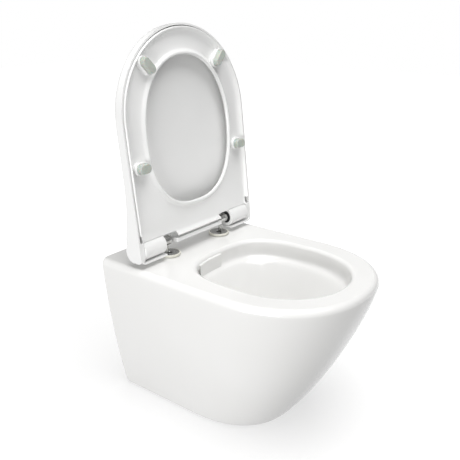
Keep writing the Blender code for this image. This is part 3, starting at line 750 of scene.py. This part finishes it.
def trap_path(grow, name, material):
    """Tube along the trapway, run out past the wall face."""
    steps = smooth_rows(list(TRAP_STEPS[:-1]), 3)
    steps += [TRAP_STEPS[-1], (-0.01, *TRAP_STEPS[-1][1:])]
    loops = []
    for i, (out, depth, radius) in enumerate(steps):
        before = steps[max(i - 1, 0)]
        after = steps[min(i + 1, len(steps) - 1)]
        if after[1] == depth:
            before = after
            after = (after[0] - 1.0, after[1])
        along = Vector((0.0, before[0] - after[0], before[1] - after[1])).normalized()
        up = Vector((0.0, -along.z, along.y))
        centre = Vector((0.0, -out, DECK_Z - depth))
        loop = []
        for k in range(AROUND_PIN):
            angle = 2 * math.pi * k / AROUND_PIN
            offset = Vector((math.cos(angle), 0, 0)) + up * math.sin(angle)
            loop.append(centre + offset * (radius + grow))
        loops.append(loop)
    return loft(name, loops, material)


def inlet_bore(grow, name, material):
    """Stepped bore from the wall face into the flush chamber."""
    wide = INLET_R + grow
    narrow = INLET_NARROW_R + grow
    profile = ((wide, PAST), (wide, -INLET_STEP_AT), (narrow, -INLET_STEP_END),
               (narrow, -INLET_REACH - grow))
    return turned(name, profile, (0, 0, INLET_Z), "Y", material)


def rear_wall(x):
    """Where the bowl's upright rear wall stands at x."""
    share = 1 - abs(x / BOWL_HALF) ** BOWL_REAR_ROUND
    return BOWL_MID + (BOWL_REAR - BOWL_MID) * share ** (1 / BOWL_REAR_ROUND)


def hood_panel(glaze):
    """Curved shield in front of the flush chamber, open at its left end."""
    loops = []
    steps = 56
    round_at = HOOD_RIGHT - HOOD_CORNER_R
    soft = HOOD_EDGE_R
    for k in range(steps + 1):
        x = HOOD_LEFT + (HOOD_RIGHT - HOOD_LEFT) * k / steps
        over = max(0.0, x - round_at)
        rise = HOOD_CORNER_R - math.sqrt(max(0.0, HOOD_CORNER_R ** 2 - over ** 2))
        foot = DECK_Z - HOOD_FOOT + min(rise, 0.85 * HOOD_CORNER_R)
        top = DECK_Z - HOOD_TOP
        face = rear_wall(x) - HOOD_PROUD
        back = rear_wall(x) + HOOD_ROOT
        section = [(back, top), (face + soft, top)]
        section += [(face + soft - soft * math.sin(a), top - soft + soft * math.cos(a))
                    for a in (0.5, 1.0, math.pi / 2)]
        section += [(face + soft - soft * math.cos(a), foot + soft - soft * math.sin(a))
                    for a in (0.0, 0.5, 1.0, math.pi / 2)]
        section.append((back, foot))
        loops.append([Vector((x, y, z)) for y, z in section])
    return loft("hood", loops, glaze)


def hood_chamber(glaze):
    """Flush chamber behind the hood, and the slot at the hood's left end."""
    left = HOOD_LEFT - HOOD_SLOT_WIDTH
    chamber = box("chamber", (left, CHAMBER_FRONT, CHAMBER_FOOT),
                  (INLET_NARROW_R, CHAMBER_BACK, CHAMBER_TOP), glaze)
    slot = box("slot", (left, HOOD_SLOT_FRONT, CHAMBER_FOOT + 0.001),
               (HOOD_LEFT, HOOD_SLOT_BACK, CHAMBER_TOP + 0.004), glaze)
    join(chamber, slot)
    return chamber


def chamber_shell(clay):
    """China left standing round the flush chamber."""
    left = HOOD_LEFT - HOOD_SLOT_WIDTH - CHAMBER_SHELL
    return box("chamber_shell", (left, CHAMBER_SHELL_FRONT, DECK_Z - HOOD_FOOT - 0.005),
               (INLET_NARROW_R + 0.007, CHAMBER_BACK + CHAMBER_SHELL, DECK_Z - CHAMBER_SHELL), clay)


def build_pan(looks):
    """Hollow glazed body with its bowl, flush way, trapway and fixing holes."""
    glaze = looks["glazed_ceramic"]
    clay = looks["raw_ceramic"]
    pan = pan_outer(glaze)
    hollow = pan_hollow(clay)
    for _, side in SIDES:
        boss = ((STUD_BOSS_R, -STUD_BOSS_DEPTH), (STUD_BOSS_R, PAST))
        cut(hollow, turned("boss", boss, (side * STUD_X, 0, 0), "Y", clay))
        lug = ((SEAT_LUG_R, -SEAT_LUG_DEPTH), (SEAT_LUG_R, 0.0))
        cut(hollow, turned("lug", lug, (side * SEAT_HOLE_X, SEAT_HOLE_Y, DECK_Z), "Z", clay))
    cut(hollow, bowl_shell(clay), trap_path(TRAP_SHELL, "trap_shell", clay))
    cut(hollow, inlet_bore(INLET_SHELL, "inlet_shell", clay), chamber_shell(clay))
    cut(pan, hollow, bowl_cavity(glaze))
    join(pan, hood_panel(glaze))
    cut(pan, trap_path(0.0, "trap_bore", glaze), inlet_bore(0.0, "inlet_bore", glaze))
    cut(pan, hood_chamber(glaze))
    for _, side in SIDES:
        hole = ((STUD_HOLE_R, -HOLE_DEPTH), (STUD_HOLE_R, PAST))
        cut(pan, turned("stud", hole, (side * STUD_X, 0, 0), "Y", clay))
        hole = ((SEAT_HOLE_R, -HOLE_DEPTH), (SEAT_HOLE_R, PAST))
        cut(pan, turned("bolt", hole, (side * SEAT_HOLE_X, SEAT_HOLE_Y, DECK_Z), "Z", glaze))
        xs = sorted((side * WINDOW_IN, side * WINDOW_OUT))
        cut(pan, box("window", (xs[0], -WINDOW_DEPTH, WINDOW_FOOT), (xs[1], PAST, WINDOW_TOP),
                     clay, bevel=WINDOW_R))
    clay_index = pan.data.materials.find(clay.name)
    for face in pan.data.polygons:
        if face.center.y > -FACE_SLACK or face.center.z < PAN_LOW.z + FACE_SLACK:
            face.material_index = clay_index
    finish(pan, "pan", "glazed_ceramic", "pan")


# ---- seat, drawn closed about its hinge line ----
def seat_outline(half_rear, half, reach, rear, corner):
    """Even points round the seat outline: (x, s), s growing away from the hinge."""
    arc_at = RING_ARC_AT
    dense = [(0.0, rear)]
    for k in range(25):
        angle = math.pi / 2 * k / 24
        dense.append((half_rear - corner + corner * math.sin(angle),
                      rear + corner - corner * math.cos(angle)))
    for k in range(1, 60):
        f = k / 60
        s = rear + corner + (arc_at - rear - corner) * f
        dense.append((half_rear + (half - half_rear) * math.sin(math.pi / 2 * f), s))
    for k in range(181):
        angle = math.pi / 2 * k / 180
        dense.append((half * math.cos(angle), arc_at + reach * math.sin(angle)))
    dense += [(-x, s) for x, s in reversed(dense[1:-1])]
    closed = dense + [dense[0]]
    lengths = [0.0]
    for a, b in zip(closed, closed[1:]):
        lengths.append(lengths[-1] + math.hypot(b[0] - a[0], b[1] - a[1]))
    points = []
    j = 0
    for i in range(AROUND_SEAT):
        target = lengths[-1] * i / AROUND_SEAT
        while lengths[j + 1] < target:
            j += 1
        f = (target - lengths[j]) / (lengths[j + 1] - lengths[j])
        a, b = closed[j], closed[j + 1]
        points.append((a[0] + (b[0] - a[0]) * f, a[1] + (b[1] - a[1]) * f))
    return points


def inward(points, i):
    """Unit vector pointing into the outline at point i."""
    a = points[i - 1]
    b = points[(i + 1) % len(points)]
    size = math.hypot(b[0] - a[0], b[1] - a[1])
    return (-(b[1] - a[1]) / size, (b[0] - a[0]) / size)


def hole_point(x, s):
    """Edge of the seat hole seen from its middle towards (x, s)."""
    middle = (HOLE_REAR + HOLE_FRONT) / 2
    half_length = (HOLE_FRONT - HOLE_REAR) / 2
    angle = math.atan2(s - middle, x)
    c = abs(math.cos(angle)) / HOLE_HALF
    d = abs(math.sin(angle)) / half_length
    power = HOLE_FRONT_ROUND if s > middle else HOLE_REAR_ROUND
    radius = (c ** power + d ** power) ** (-1 / power)
    return (radius * math.cos(angle), middle + radius * math.sin(angle))


def seat_point(x, s, h):
    """Closed seat coordinates to hinge-centred metres."""
    return Vector((x, -s, h))


def ring_body(material):
    """Ring with a raised outer lip, a hollow channel and a rolled inner lip below."""
    points = seat_outline(RING_HALF_REAR, RING_HALF, RING_ARC_REACH, RING_REAR, RING_CORNER_R)
    lip = RING_LIP
    # distance from the outer edge, distance from the hole edge, height
    section = (
        (0.0000, None, RING_UNDER + 0.0012),
        (0.0000, None, -0.0110),
        (0.0012, None, -0.0075),
        (0.0045, None, -0.0050),
        (0.0120, None, -0.0034),
        (None, 0.0140, -0.0052),
        (None, 0.0060, -0.0078),
        (None, 0.0000, -0.0150),
        (None, 0.0012, -0.0186),
        (None, 0.0045, RING_UNDER),
        (None, 0.0080, -0.0180),
        (None, 0.0125, -0.0138),
        (0.0200, None, -0.0115),
        (lip + 0.0060, None, -0.0120),
        (lip + 0.0006, None, RING_UNDER + 0.0010),
        (lip - 0.0010, None, RING_UNDER),
        (0.0012, None, RING_UNDER),
    )
    loops = []
    for x, s in points:
        hx, hs = hole_point(x, s)
        span = math.hypot(hx - x, hs - s)
        here = [(a if b is None else span - b, h) for a, b, h in section]
        loop = []
        for d, h in rounded(here):
            f = d / span
            loop.append(seat_point(x + (hx - x) * f, s + (hs - s) * f, h))
        loops.append(loop)
    return loft("ring_shell", loops, material, ring=True)


def oblong(name, centre, length, width, rows, turn, material):
    """Oblong with half-round ends in plan; rows are (height, inset) from top to foot."""
    loops = []
    arc = 16
    for h, inset in rows:
        loop = []
        for end in (1, -1):
            for k in range(arc + 1):
                angle = -math.pi / 2 + math.pi * k / arc + (0 if end > 0 else math.pi)
                radius = width / 2 - inset
                a = end * (length - width) / 2 + radius * math.cos(angle)
                b = radius * math.sin(angle)
                x = centre[0] + a * math.cos(turn) - b * math.sin(turn)
                s = centre[1] + a * math.sin(turn) + b * math.cos(turn)
                loop.append(seat_point(x, s, h))
        loops.append(loop)
    return loft(name, loops, material)


def soft_rows(high, low, radius, steps=4):
    """Upright wall from high to low with its lower edge rounded over."""
    rows = [(high, 0.0)]
    for k in range(steps + 1):
        angle = math.pi / 2 * k / steps
        rows.append((low + radius * (1 - math.sin(angle)), radius * (1 - math.cos(angle))))
    return rows


def pad_places():
    """Tag, centre, length, width and turn of the four seat pads."""
    places = []
    for tag, side in SIDES:
        x = side * PAD_FRONT_REACH * math.sin(PAD_FRONT_ANGLE) * PAD_OVAL
        s = RING_ARC_AT + PAD_FRONT_REACH * math.cos(PAD_FRONT_ANGLE)
        turn = math.pi / 2 - side * PAD_FRONT_ANGLE
        places.append(("front_" + tag, (x, s), *PAD_FRONT_SIZE, turn))
        places.append(("rear_" + tag, (side * PAD_REAR_X, PAD_REAR_S), *PAD_REAR_SIZE, 0.0))
    return places


def raise_seat(obj):
    """Set a closed, hinge-centred mesh on the hinge line and lift it open."""
    turn = Matrix.Rotation(-RAISED, 4, "X")
    obj.data.transform(Matrix.Translation((0.0, AXIS_Y, AXIS_Z)) @ turn)


def finish(obj, body, slot, *nodes, sharp=34.0):
    """Shade a piece, hang it on its body and hide the CAD nodes it stands for."""
    obj.data.shade_smooth()
    obj.data.set_sharp_from_angle(angle=math.radians(sharp))
    weighted = obj.modifiers.new("weighted", "WEIGHTED_NORMAL")
    weighted.keep_sharp = True
    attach(obj, body)
    if nodes:
        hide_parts(*nodes)
    return obj


def behind(name, side, span, reach, heights, material, bevel=0.0):
    """Cutter for what lies behind s = reach between two distances from the middle."""
    xs = sorted((side * span[0], side * span[1]))
    return box(name, (xs[0], -reach, heights[0]), (xs[1], BEYOND, heights[1]), material,
               bevel=bevel)


def pin_bore(side, radius, near, far, material):
    """Cutter along the hinge line between two distances from the middle."""
    profile = ((radius, side * near), (radius, side * far))
    return turned("bore", profile, (0, 0, 0), "X", material)


def build_ring(looks):
    """Seat ring with its barrels, bores, pin pockets and pad sockets."""
    plastic = looks["seat_plastic"]
    ring = ring_body(plastic)
    for _, centre, length, width, turn in pad_places():
        rows = soft_rows(PAD_BOSS_ROOT_H, RING_UNDER - 0.0010, PAD_BOSS_EDGE_R)
        join(ring, oblong("boss", centre, length + PAD_BOSS_MARGIN, width + PAD_BOSS_MARGIN,
                          rows, turn, plastic))
    clear = ((RING_CLEAR_R, -RING_CLEAR_HALF), (RING_CLEAR_R, RING_CLEAR_HALF))
    cut(ring, turned("clear", clear, (0, 0, 0), "X", plastic, AROUND_BARREL))
    edge = BARREL_EDGE_R
    full = (RING_CUT_LOW, SEAT_CUT_TOP)
    for _, side in SIDES:
        cut(ring, behind("pocket", side, (POCKET_IN, POCKET_OUT), POCKET_REACH,
                         (RING_CUT_LOW, POCKET_BOTTOM), plastic, POCKET_R))
        cut(ring, behind("rear", side, (RING_TRIM_IN, SEAT_OUT), BARREL_NECK, full, plastic))
        cut(ring, behind("notch", side, (BARREL_OUT + GAP, SEAT_OUT), NOTCH_REACH, full, plastic))
        profile = [(BARREL_R - edge * (1 - math.sin(a)), BARREL_IN + edge * (1 - math.cos(a)))
                   for a in QUARTER]
        profile += [(BARREL_R - edge * (1 - math.cos(a)), BARREL_OUT - edge * (1 - math.sin(a)))
                    for a in QUARTER]
        profile = [(radius, side * along) for radius, along in profile]
        join(ring, turned("barrel", profile, (0, 0, 0), "X", plastic, AROUND_BARREL))
        cut(ring, pin_bore(side, BARREL_BORE_R, BARREL_IN - PAST, BARREL_BORE_OUT, plastic))
        cut(ring, pin_bore(side, BUSH_R, BARREL_BORE_OUT - PAST, BARREL_OUT + PAST, plastic))
    for _, centre, length, width, turn in pad_places():
        rows = [(PAD_ROOT_H, 0.0), (RING_UNDER - PAST, 0.0)]
        cut(ring, oblong("socket", centre, length + 2 * GAP, width + 2 * GAP, rows, turn, plastic))
    raise_seat(ring)
    finish(ring, "ring", "seat_plastic", "seat_ring")


def build_pads(looks):
    """Four buffers that rest on the deck when the ring is down."""
    foot = -(AXIS_Z - DECK_Z) + GAP
    for tag, centre, length, width, turn in pad_places():
        rows = soft_rows(PAD_ROOT_H - GAP, foot, PAD_EDGE_R, 6)
        pad = oblong("ring_pad_" + tag, centre, length, width, rows, turn, looks["buffer_rubber"])
        raise_seat(pad)
        finish(pad, "ring", "buffer_rubber", "ring_buffer_" + tag)


def cover_top(s):
    """Height of the cover's outside along its middle, with the hump over the hinge."""
    away = (s - COVER_HUMP_AT) / COVER_HUMP_S
    return COVER_BASE_H + COVER_HUMP_H * math.exp(-(away ** 2))


def heel_drop(s, skin):
    """How far the rounded heel has fallen away at s."""
    radius = COVER_HEEL_R - skin
    over = max(0.0, radius - (s - COVER_REAR - skin))
    return radius - math.sqrt(max(0.0, radius ** 2 - over ** 2))


def clear_of_barrel(point, radius):
    """Keep a point of the shell at least this far from the hinge line."""
    reach = math.hypot(point.y, point.z)
    if reach < radius:
        point.y *= radius / reach
        point.z *= radius / reach
    return point


def cover_body(material):
    """Thin shell: edge radius all round, and a larger heel turned down at the rear."""
    points = seat_outline(COVER_HALF_REAR, COVER_HALF, COVER_ARC_REACH, COVER_REAR,
                          COVER_CORNER_R)
    middle = (0.0, 0.20)
    rows = []
    for skin in (COVER_SKIN, 0.0):
        chain = [("edge", 0.0, skin)]
        chain += [("arc", math.pi / 2 * k / 10, skin) for k in range(11)]
        chain += [("fill", 0.015 * k, skin) for k in range(1, 9)]
        chain += [("fill", 0.12 + 0.08 * k, skin) for k in range(1, 11)]
        if skin:
            chain.reverse()
        rows += chain
    loops = []
    for kind, value, skin in rows:
        loop = []
        for i, (x, s) in enumerate(points):
            nx, ns = inward(points, i)
            radius = COVER_EDGE_R - skin
            px = x + nx * skin
            ps = s + ns * skin
            inner_x = px + nx * radius
            inner_s = ps + ns * radius
            crown = cover_top(inner_s) - skin
            if kind == "edge":
                loop.append(seat_point(px, ps, COVER_LIP_H))
            elif kind == "arc":
                d = radius * (1 - math.cos(value))
                h = crown - radius * (1 - math.sin(value)) - heel_drop(ps + ns * d, skin)
                loop.append(seat_point(px + nx * d, ps + ns * d, h))
            else:
                fx = inner_x + (middle[0] - inner_x) * value
                fs = inner_s + (middle[1] - inner_s) * value
                h = cover_top(fs) - skin + COVER_DOME * (1 - (1 - value) ** 2)
                h -= heel_drop(fs, skin)
                loop.append(seat_point(fx, fs, h))
        if kind != "edge":
            radius = BARREL_CLEAR_R if skin else HEEL_BACK_R
            loop = [clear_of_barrel(point, radius) for point in loop]
        loops.append(loop)
    return loft("cover_shell", loops, material, point_ends=True)


def ear_block(side, material):
    """Rounded lug that carries the cover's bush."""
    corners = [(EAR_REACH, COVER_LIP_H), (-0.0130, COVER_LIP_H), (-0.0190, -0.0145),
               (-0.0220, -0.0090), (-0.0222, -0.0020), (-0.0195, 0.0060), (-0.0130, 0.0135),
               (-0.0050, 0.0180), (EAR_REACH, 0.0185)]
    outline = corners[:1] + rounded(corners[1:-1], 2, closed=False) + corners[-1:]
    xs = sorted((side * EAR_IN, side * EAR_OUT))
    loops = [[Vector((x, -s, h)) for s, h in outline] for x in xs]
    return loft("ear", loops, material)


def build_cover(looks):
    """Cover with its heel, the slots for the posts and the bushed ears."""
    plastic = looks["seat_plastic"]
    cover = cover_body(plastic)
    for _, side in SIDES:
        join(cover, ear_block(side, plastic))
        cut(cover, pin_bore(side, BUSH_R, EAR_IN - PAST, BUSH_OUT, plastic))
    heel = box("heel", (-SLOT_IN, -HEEL_FRONT_S, COVER_LIP_H + 0.001),
               (SLOT_IN, -HEEL_CENTRE_S, HEEL_TOP_H), plastic, bevel=HEEL_EDGE_R)
    full = (COVER_CUT_LOW, SEAT_CUT_TOP)
    cut(cover, behind("centre", 1.0, (-SLOT_OUT, SLOT_OUT), HEEL_CENTRE_S, full, plastic))
    join(cover, heel)
    for _, side in SIDES:
        cut(cover, behind("slot", side, (SLOT_IN, SLOT_OUT), SLOT_REACH, full, plastic))
    raise_seat(cover)
    finish(cover, "cover", "seat_plastic", "seat_cover")


def build_cover_pads(looks):
    """Two buffers that rest on the ring when the cover is down."""
    for tag, side in SIDES:
        x = side * COVER_PAD_REACH * math.sin(COVER_PAD_ANGLE)
        s = RING_ARC_AT + COVER_PAD_REACH * math.cos(COVER_PAD_ANGLE)
        rows = soft_rows(cover_top(s) - COVER_SKIN - GAP, COVER_PAD_FOOT_H + GAP,
                         COVER_PAD_EDGE_R, 6)
        pad = oblong("cover_pad_" + tag, (x, s), *COVER_PAD_SIZE, rows, 0.0,
                     looks["buffer_rubber"])
        raise_seat(pad)
        finish(pad, "cover", "buffer_rubber", "cover_buffer_" + tag)


# ---- hinges ----
def build_rosettes(looks):
    """Dished plated discs with a socket for the post; their edge is painted cream as a painted
    highlight.
    """
    foot = ROSETTE_LOW.z
    height = ROSETTE_HIGH.z - ROSETTE_LOW.z
    r = ROSETTE_R
    edge = ROSETTE_EDGE_R
    for tag, side in SIDES:
        section = [(r - 0.0006, 0.0), (r, 0.0006), (r, height - edge)]
        section += [(r - edge * (1 - math.cos(a)), height - edge * (1 - math.sin(a)))
                    for a in (0.3, 0.6, 0.9, 1.2, math.pi / 2)]
        section += [(r - 0.0030, height), (r - 0.0036, height - 0.0003),
                    (r - 0.0044, height - ROSETTE_DISH),
                    (ROSETTE_BORE_R + 0.0004, height - ROSETTE_DISH),
                    (ROSETTE_BORE_R, height - ROSETTE_DISH - 0.0004), (ROSETTE_BORE_R, 0.0)]
        centre = (side * SEAT_HOLE_X, SEAT_HOLE_Y, foot)
        rosette = tube("rosette_" + tag, section, centre, "Z", looks["chrome"], AROUND_BARREL)
        hole = turned("socket", ((STEM_R + GAP, SOCKET_FLOOR), (STEM_R + GAP, PAST)),
                      (side * STEM_X, AXIS_Y, foot), "Z", looks["chrome"])
        cut(rosette, hole)
        # painted highlight: the outer rim faces get the cream colour in place of the plated rim's
        # bright reflection
        rosette.data.materials.append(looks["pale_plastic_and_rim_highlight"])
        for face in rosette.data.polygons:
            reach = math.hypot(face.center.x - centre[0], face.center.y - centre[1])
            if reach > r - ROSETTE_RIM:
                face.material_index = 1
        finish(rosette, "pan", "chrome", "hinge_rosette_" + tag)


def build_posts(looks):
    """Stem and horizontal pin head whose end recess is painted black as painted shade."""
    edge = HEAD_EDGE_R
    for tag, side in SIDES:
        profile = [(RECESS_R, HEAD_IN + RECESS_DEPTH), (RECESS_R, HEAD_IN + 0.0003),
                   (RECESS_R + 0.0003, HEAD_IN)]
        profile += [(HEAD_R - edge * (1 - math.sin(a)), HEAD_IN + edge * (1 - math.cos(a)))
                    for a in QUARTER]
        profile += [(HEAD_R, HEAD_OUT - 0.0008), (HEAD_R - 0.0004, HEAD_OUT - 0.0002),
                    (SPIGOT_R, HEAD_OUT), (SPIGOT_R, POST_HIGH.x - 0.0005),
                    (SPIGOT_R - 0.0005, POST_HIGH.x)]
        profile = [(radius, side * along) for radius, along in profile]
        post = turned("post_" + tag, profile, (0, AXIS_Y, AXIS_Z), "X", looks["chrome"])
        profile = ((STEM_R - 0.0003, POST_LOW.z), (STEM_R, POST_LOW.z + 0.0003),
                   (STEM_R, AXIS_Z))
        stem = turned("stem", profile, (side * STEM_X, AXIS_Y, 0), "Z", looks["chrome"])
        join(post, stem)
        # painted shade: the faces inside the end recess are painted black where the hole lies in
        # shade
        post.data.materials.append(looks["black_plastic"])
        for face in post.data.polygons:
            reach = math.hypot(face.center.y - AXIS_Y, face.center.z - AXIS_Z)
            if reach < RECESS_R and abs(face.center.x) < HEAD_IN + RECESS_DEPTH + GAP:
                face.material_index = 1
        finish(post, "pan", "chrome", "hinge_post_" + tag)


def dress_frame(looks):
    """Give every carried-over CAD node its procedural material."""
    slots = {"hinge_gasket": "pale_plastic_and_rim_highlight", "damper_body": "black_plastic",
             "damper_spindle": "nylon", "ear_bush": "nylon", "hinge_bolt": "steel",
             "hinge_anchor": "seal_rubber", "stud_sleeve": "nylon",
             "flush_inlet_seal": "seal_rubber", "outlet_seal": "seal_rubber"}
    for name, node in frame["nodes"].items():
        for stem, slot in slots.items():
            if name.startswith(stem):
                node.data.materials.clear()
                node.data.materials.append(looks[slot])


# ---- studio ----
def build_floor():
    """Pale floor that glows to white away from the object and lights nothing."""
    bm = bmesh.new()
    bmesh.ops.create_grid(bm, x_segments=24, y_segments=24, size=FLOOR_HALF)
    bmesh.ops.translate(bm, verts=bm.verts, vec=(0, 0, FLOOR_Z))
    shader = Shader("studio_floor", Roughness=0.9, Emission_Color=(1.0, 1.0, 1.0, 1.0))
    shader.colour(shader.ramp(shader.noise(3.0), (0.3, (0.45, 0.45, 0.45)),
                              (0.7, (0.47, 0.47, 0.47))))
    away = shader.node("ShaderNodeVectorMath", operation="LENGTH")
    shader.link(shader.place, away.inputs[0])
    shader.link(shader.span(away.outputs["Value"], FLOOR_GLOW, 1.0, GLOW_NEAR, GLOW_FAR),
                shader.bsdf.inputs["Emission Strength"])
    floor = link_mesh("studio_floor", bm, shader.material)
    floor.visible_diffuse = False


def build_world():
    """White to the eye, softer as a light source."""
    world = bpy.data.worlds.new("studio")
    world.use_nodes = True
    bpy.context.scene.world = world
    tree = world.node_tree
    glow = tree.nodes["Background"]
    glow.inputs["Color"].default_value = (1.0, 1.0, 1.0, 1.0)
    glow.inputs["Strength"].default_value = SKY_LIGHT
    white = tree.nodes.new("ShaderNodeBackground")
    white.inputs["Color"].default_value = (1.0, 1.0, 1.0, 1.0)
    white.inputs["Strength"].default_value = 1.0
    seen = tree.nodes.new("ShaderNodeLightPath")
    choose = tree.nodes.new("ShaderNodeMixShader")
    tree.links.new(seen.outputs["Is Camera Ray"], choose.inputs["Fac"])
    tree.links.new(glow.outputs["Background"], choose.inputs[1])
    tree.links.new(white.outputs["Background"], choose.inputs[2])
    tree.links.new(choose.outputs["Shader"], tree.nodes["World Output"].inputs["Surface"])


def build_lights():
    """Soft panels aimed at the pan."""
    for name, place, width, height, power, glossy in LIGHTS:
        lamp = bpy.data.lights.new(name, "AREA")
        lamp.shape = "RECTANGLE"
        lamp.size = width
        lamp.size_y = height
        lamp.energy = power
        obj = bpy.data.objects.new(name, lamp)
        obj.visible_glossy = glossy
        obj.location = place
        aim = LIGHT_AIM - Vector(place)
        obj.rotation_euler = aim.to_track_quat("-Z", "Y").to_euler()
        bpy.context.scene.collection.objects.link(obj)


def build_camera():
    """Camera at the photograph's angle."""
    camera = bpy.data.cameras.new("camera")
    camera.lens = CAMERA_LENS
    camera.sensor_width = 36.0
    obj = bpy.data.objects.new("camera", camera)
    obj.location = CAMERA_AT
    aim = CAMERA_AIM - CAMERA_AT
    obj.rotation_euler = aim.to_track_quat("-Z", "Y").to_euler()
    bpy.context.scene.collection.objects.link(obj)
    bpy.context.scene.camera = obj


def main():
    bpy.context.scene.view_settings.view_transform = "Standard"
    makers = (glazed_ceramic, raw_ceramic, seat_plastic, buffer_rubber, chrome, steel,
              black_plastic, seal_rubber, nylon, pale_plastic_and_rim_highlight)
    looks = {make.__name__: make() for make in makers}
    build_camera()
    build_world()
    build_lights()
    build_floor()
    build_pan(looks)
    build_ring(looks)
    build_pads(looks)
    build_cover(looks)
    build_cover_pads(looks)
    build_rosettes(looks)
    build_posts(looks)
    dress_frame(looks)


main()
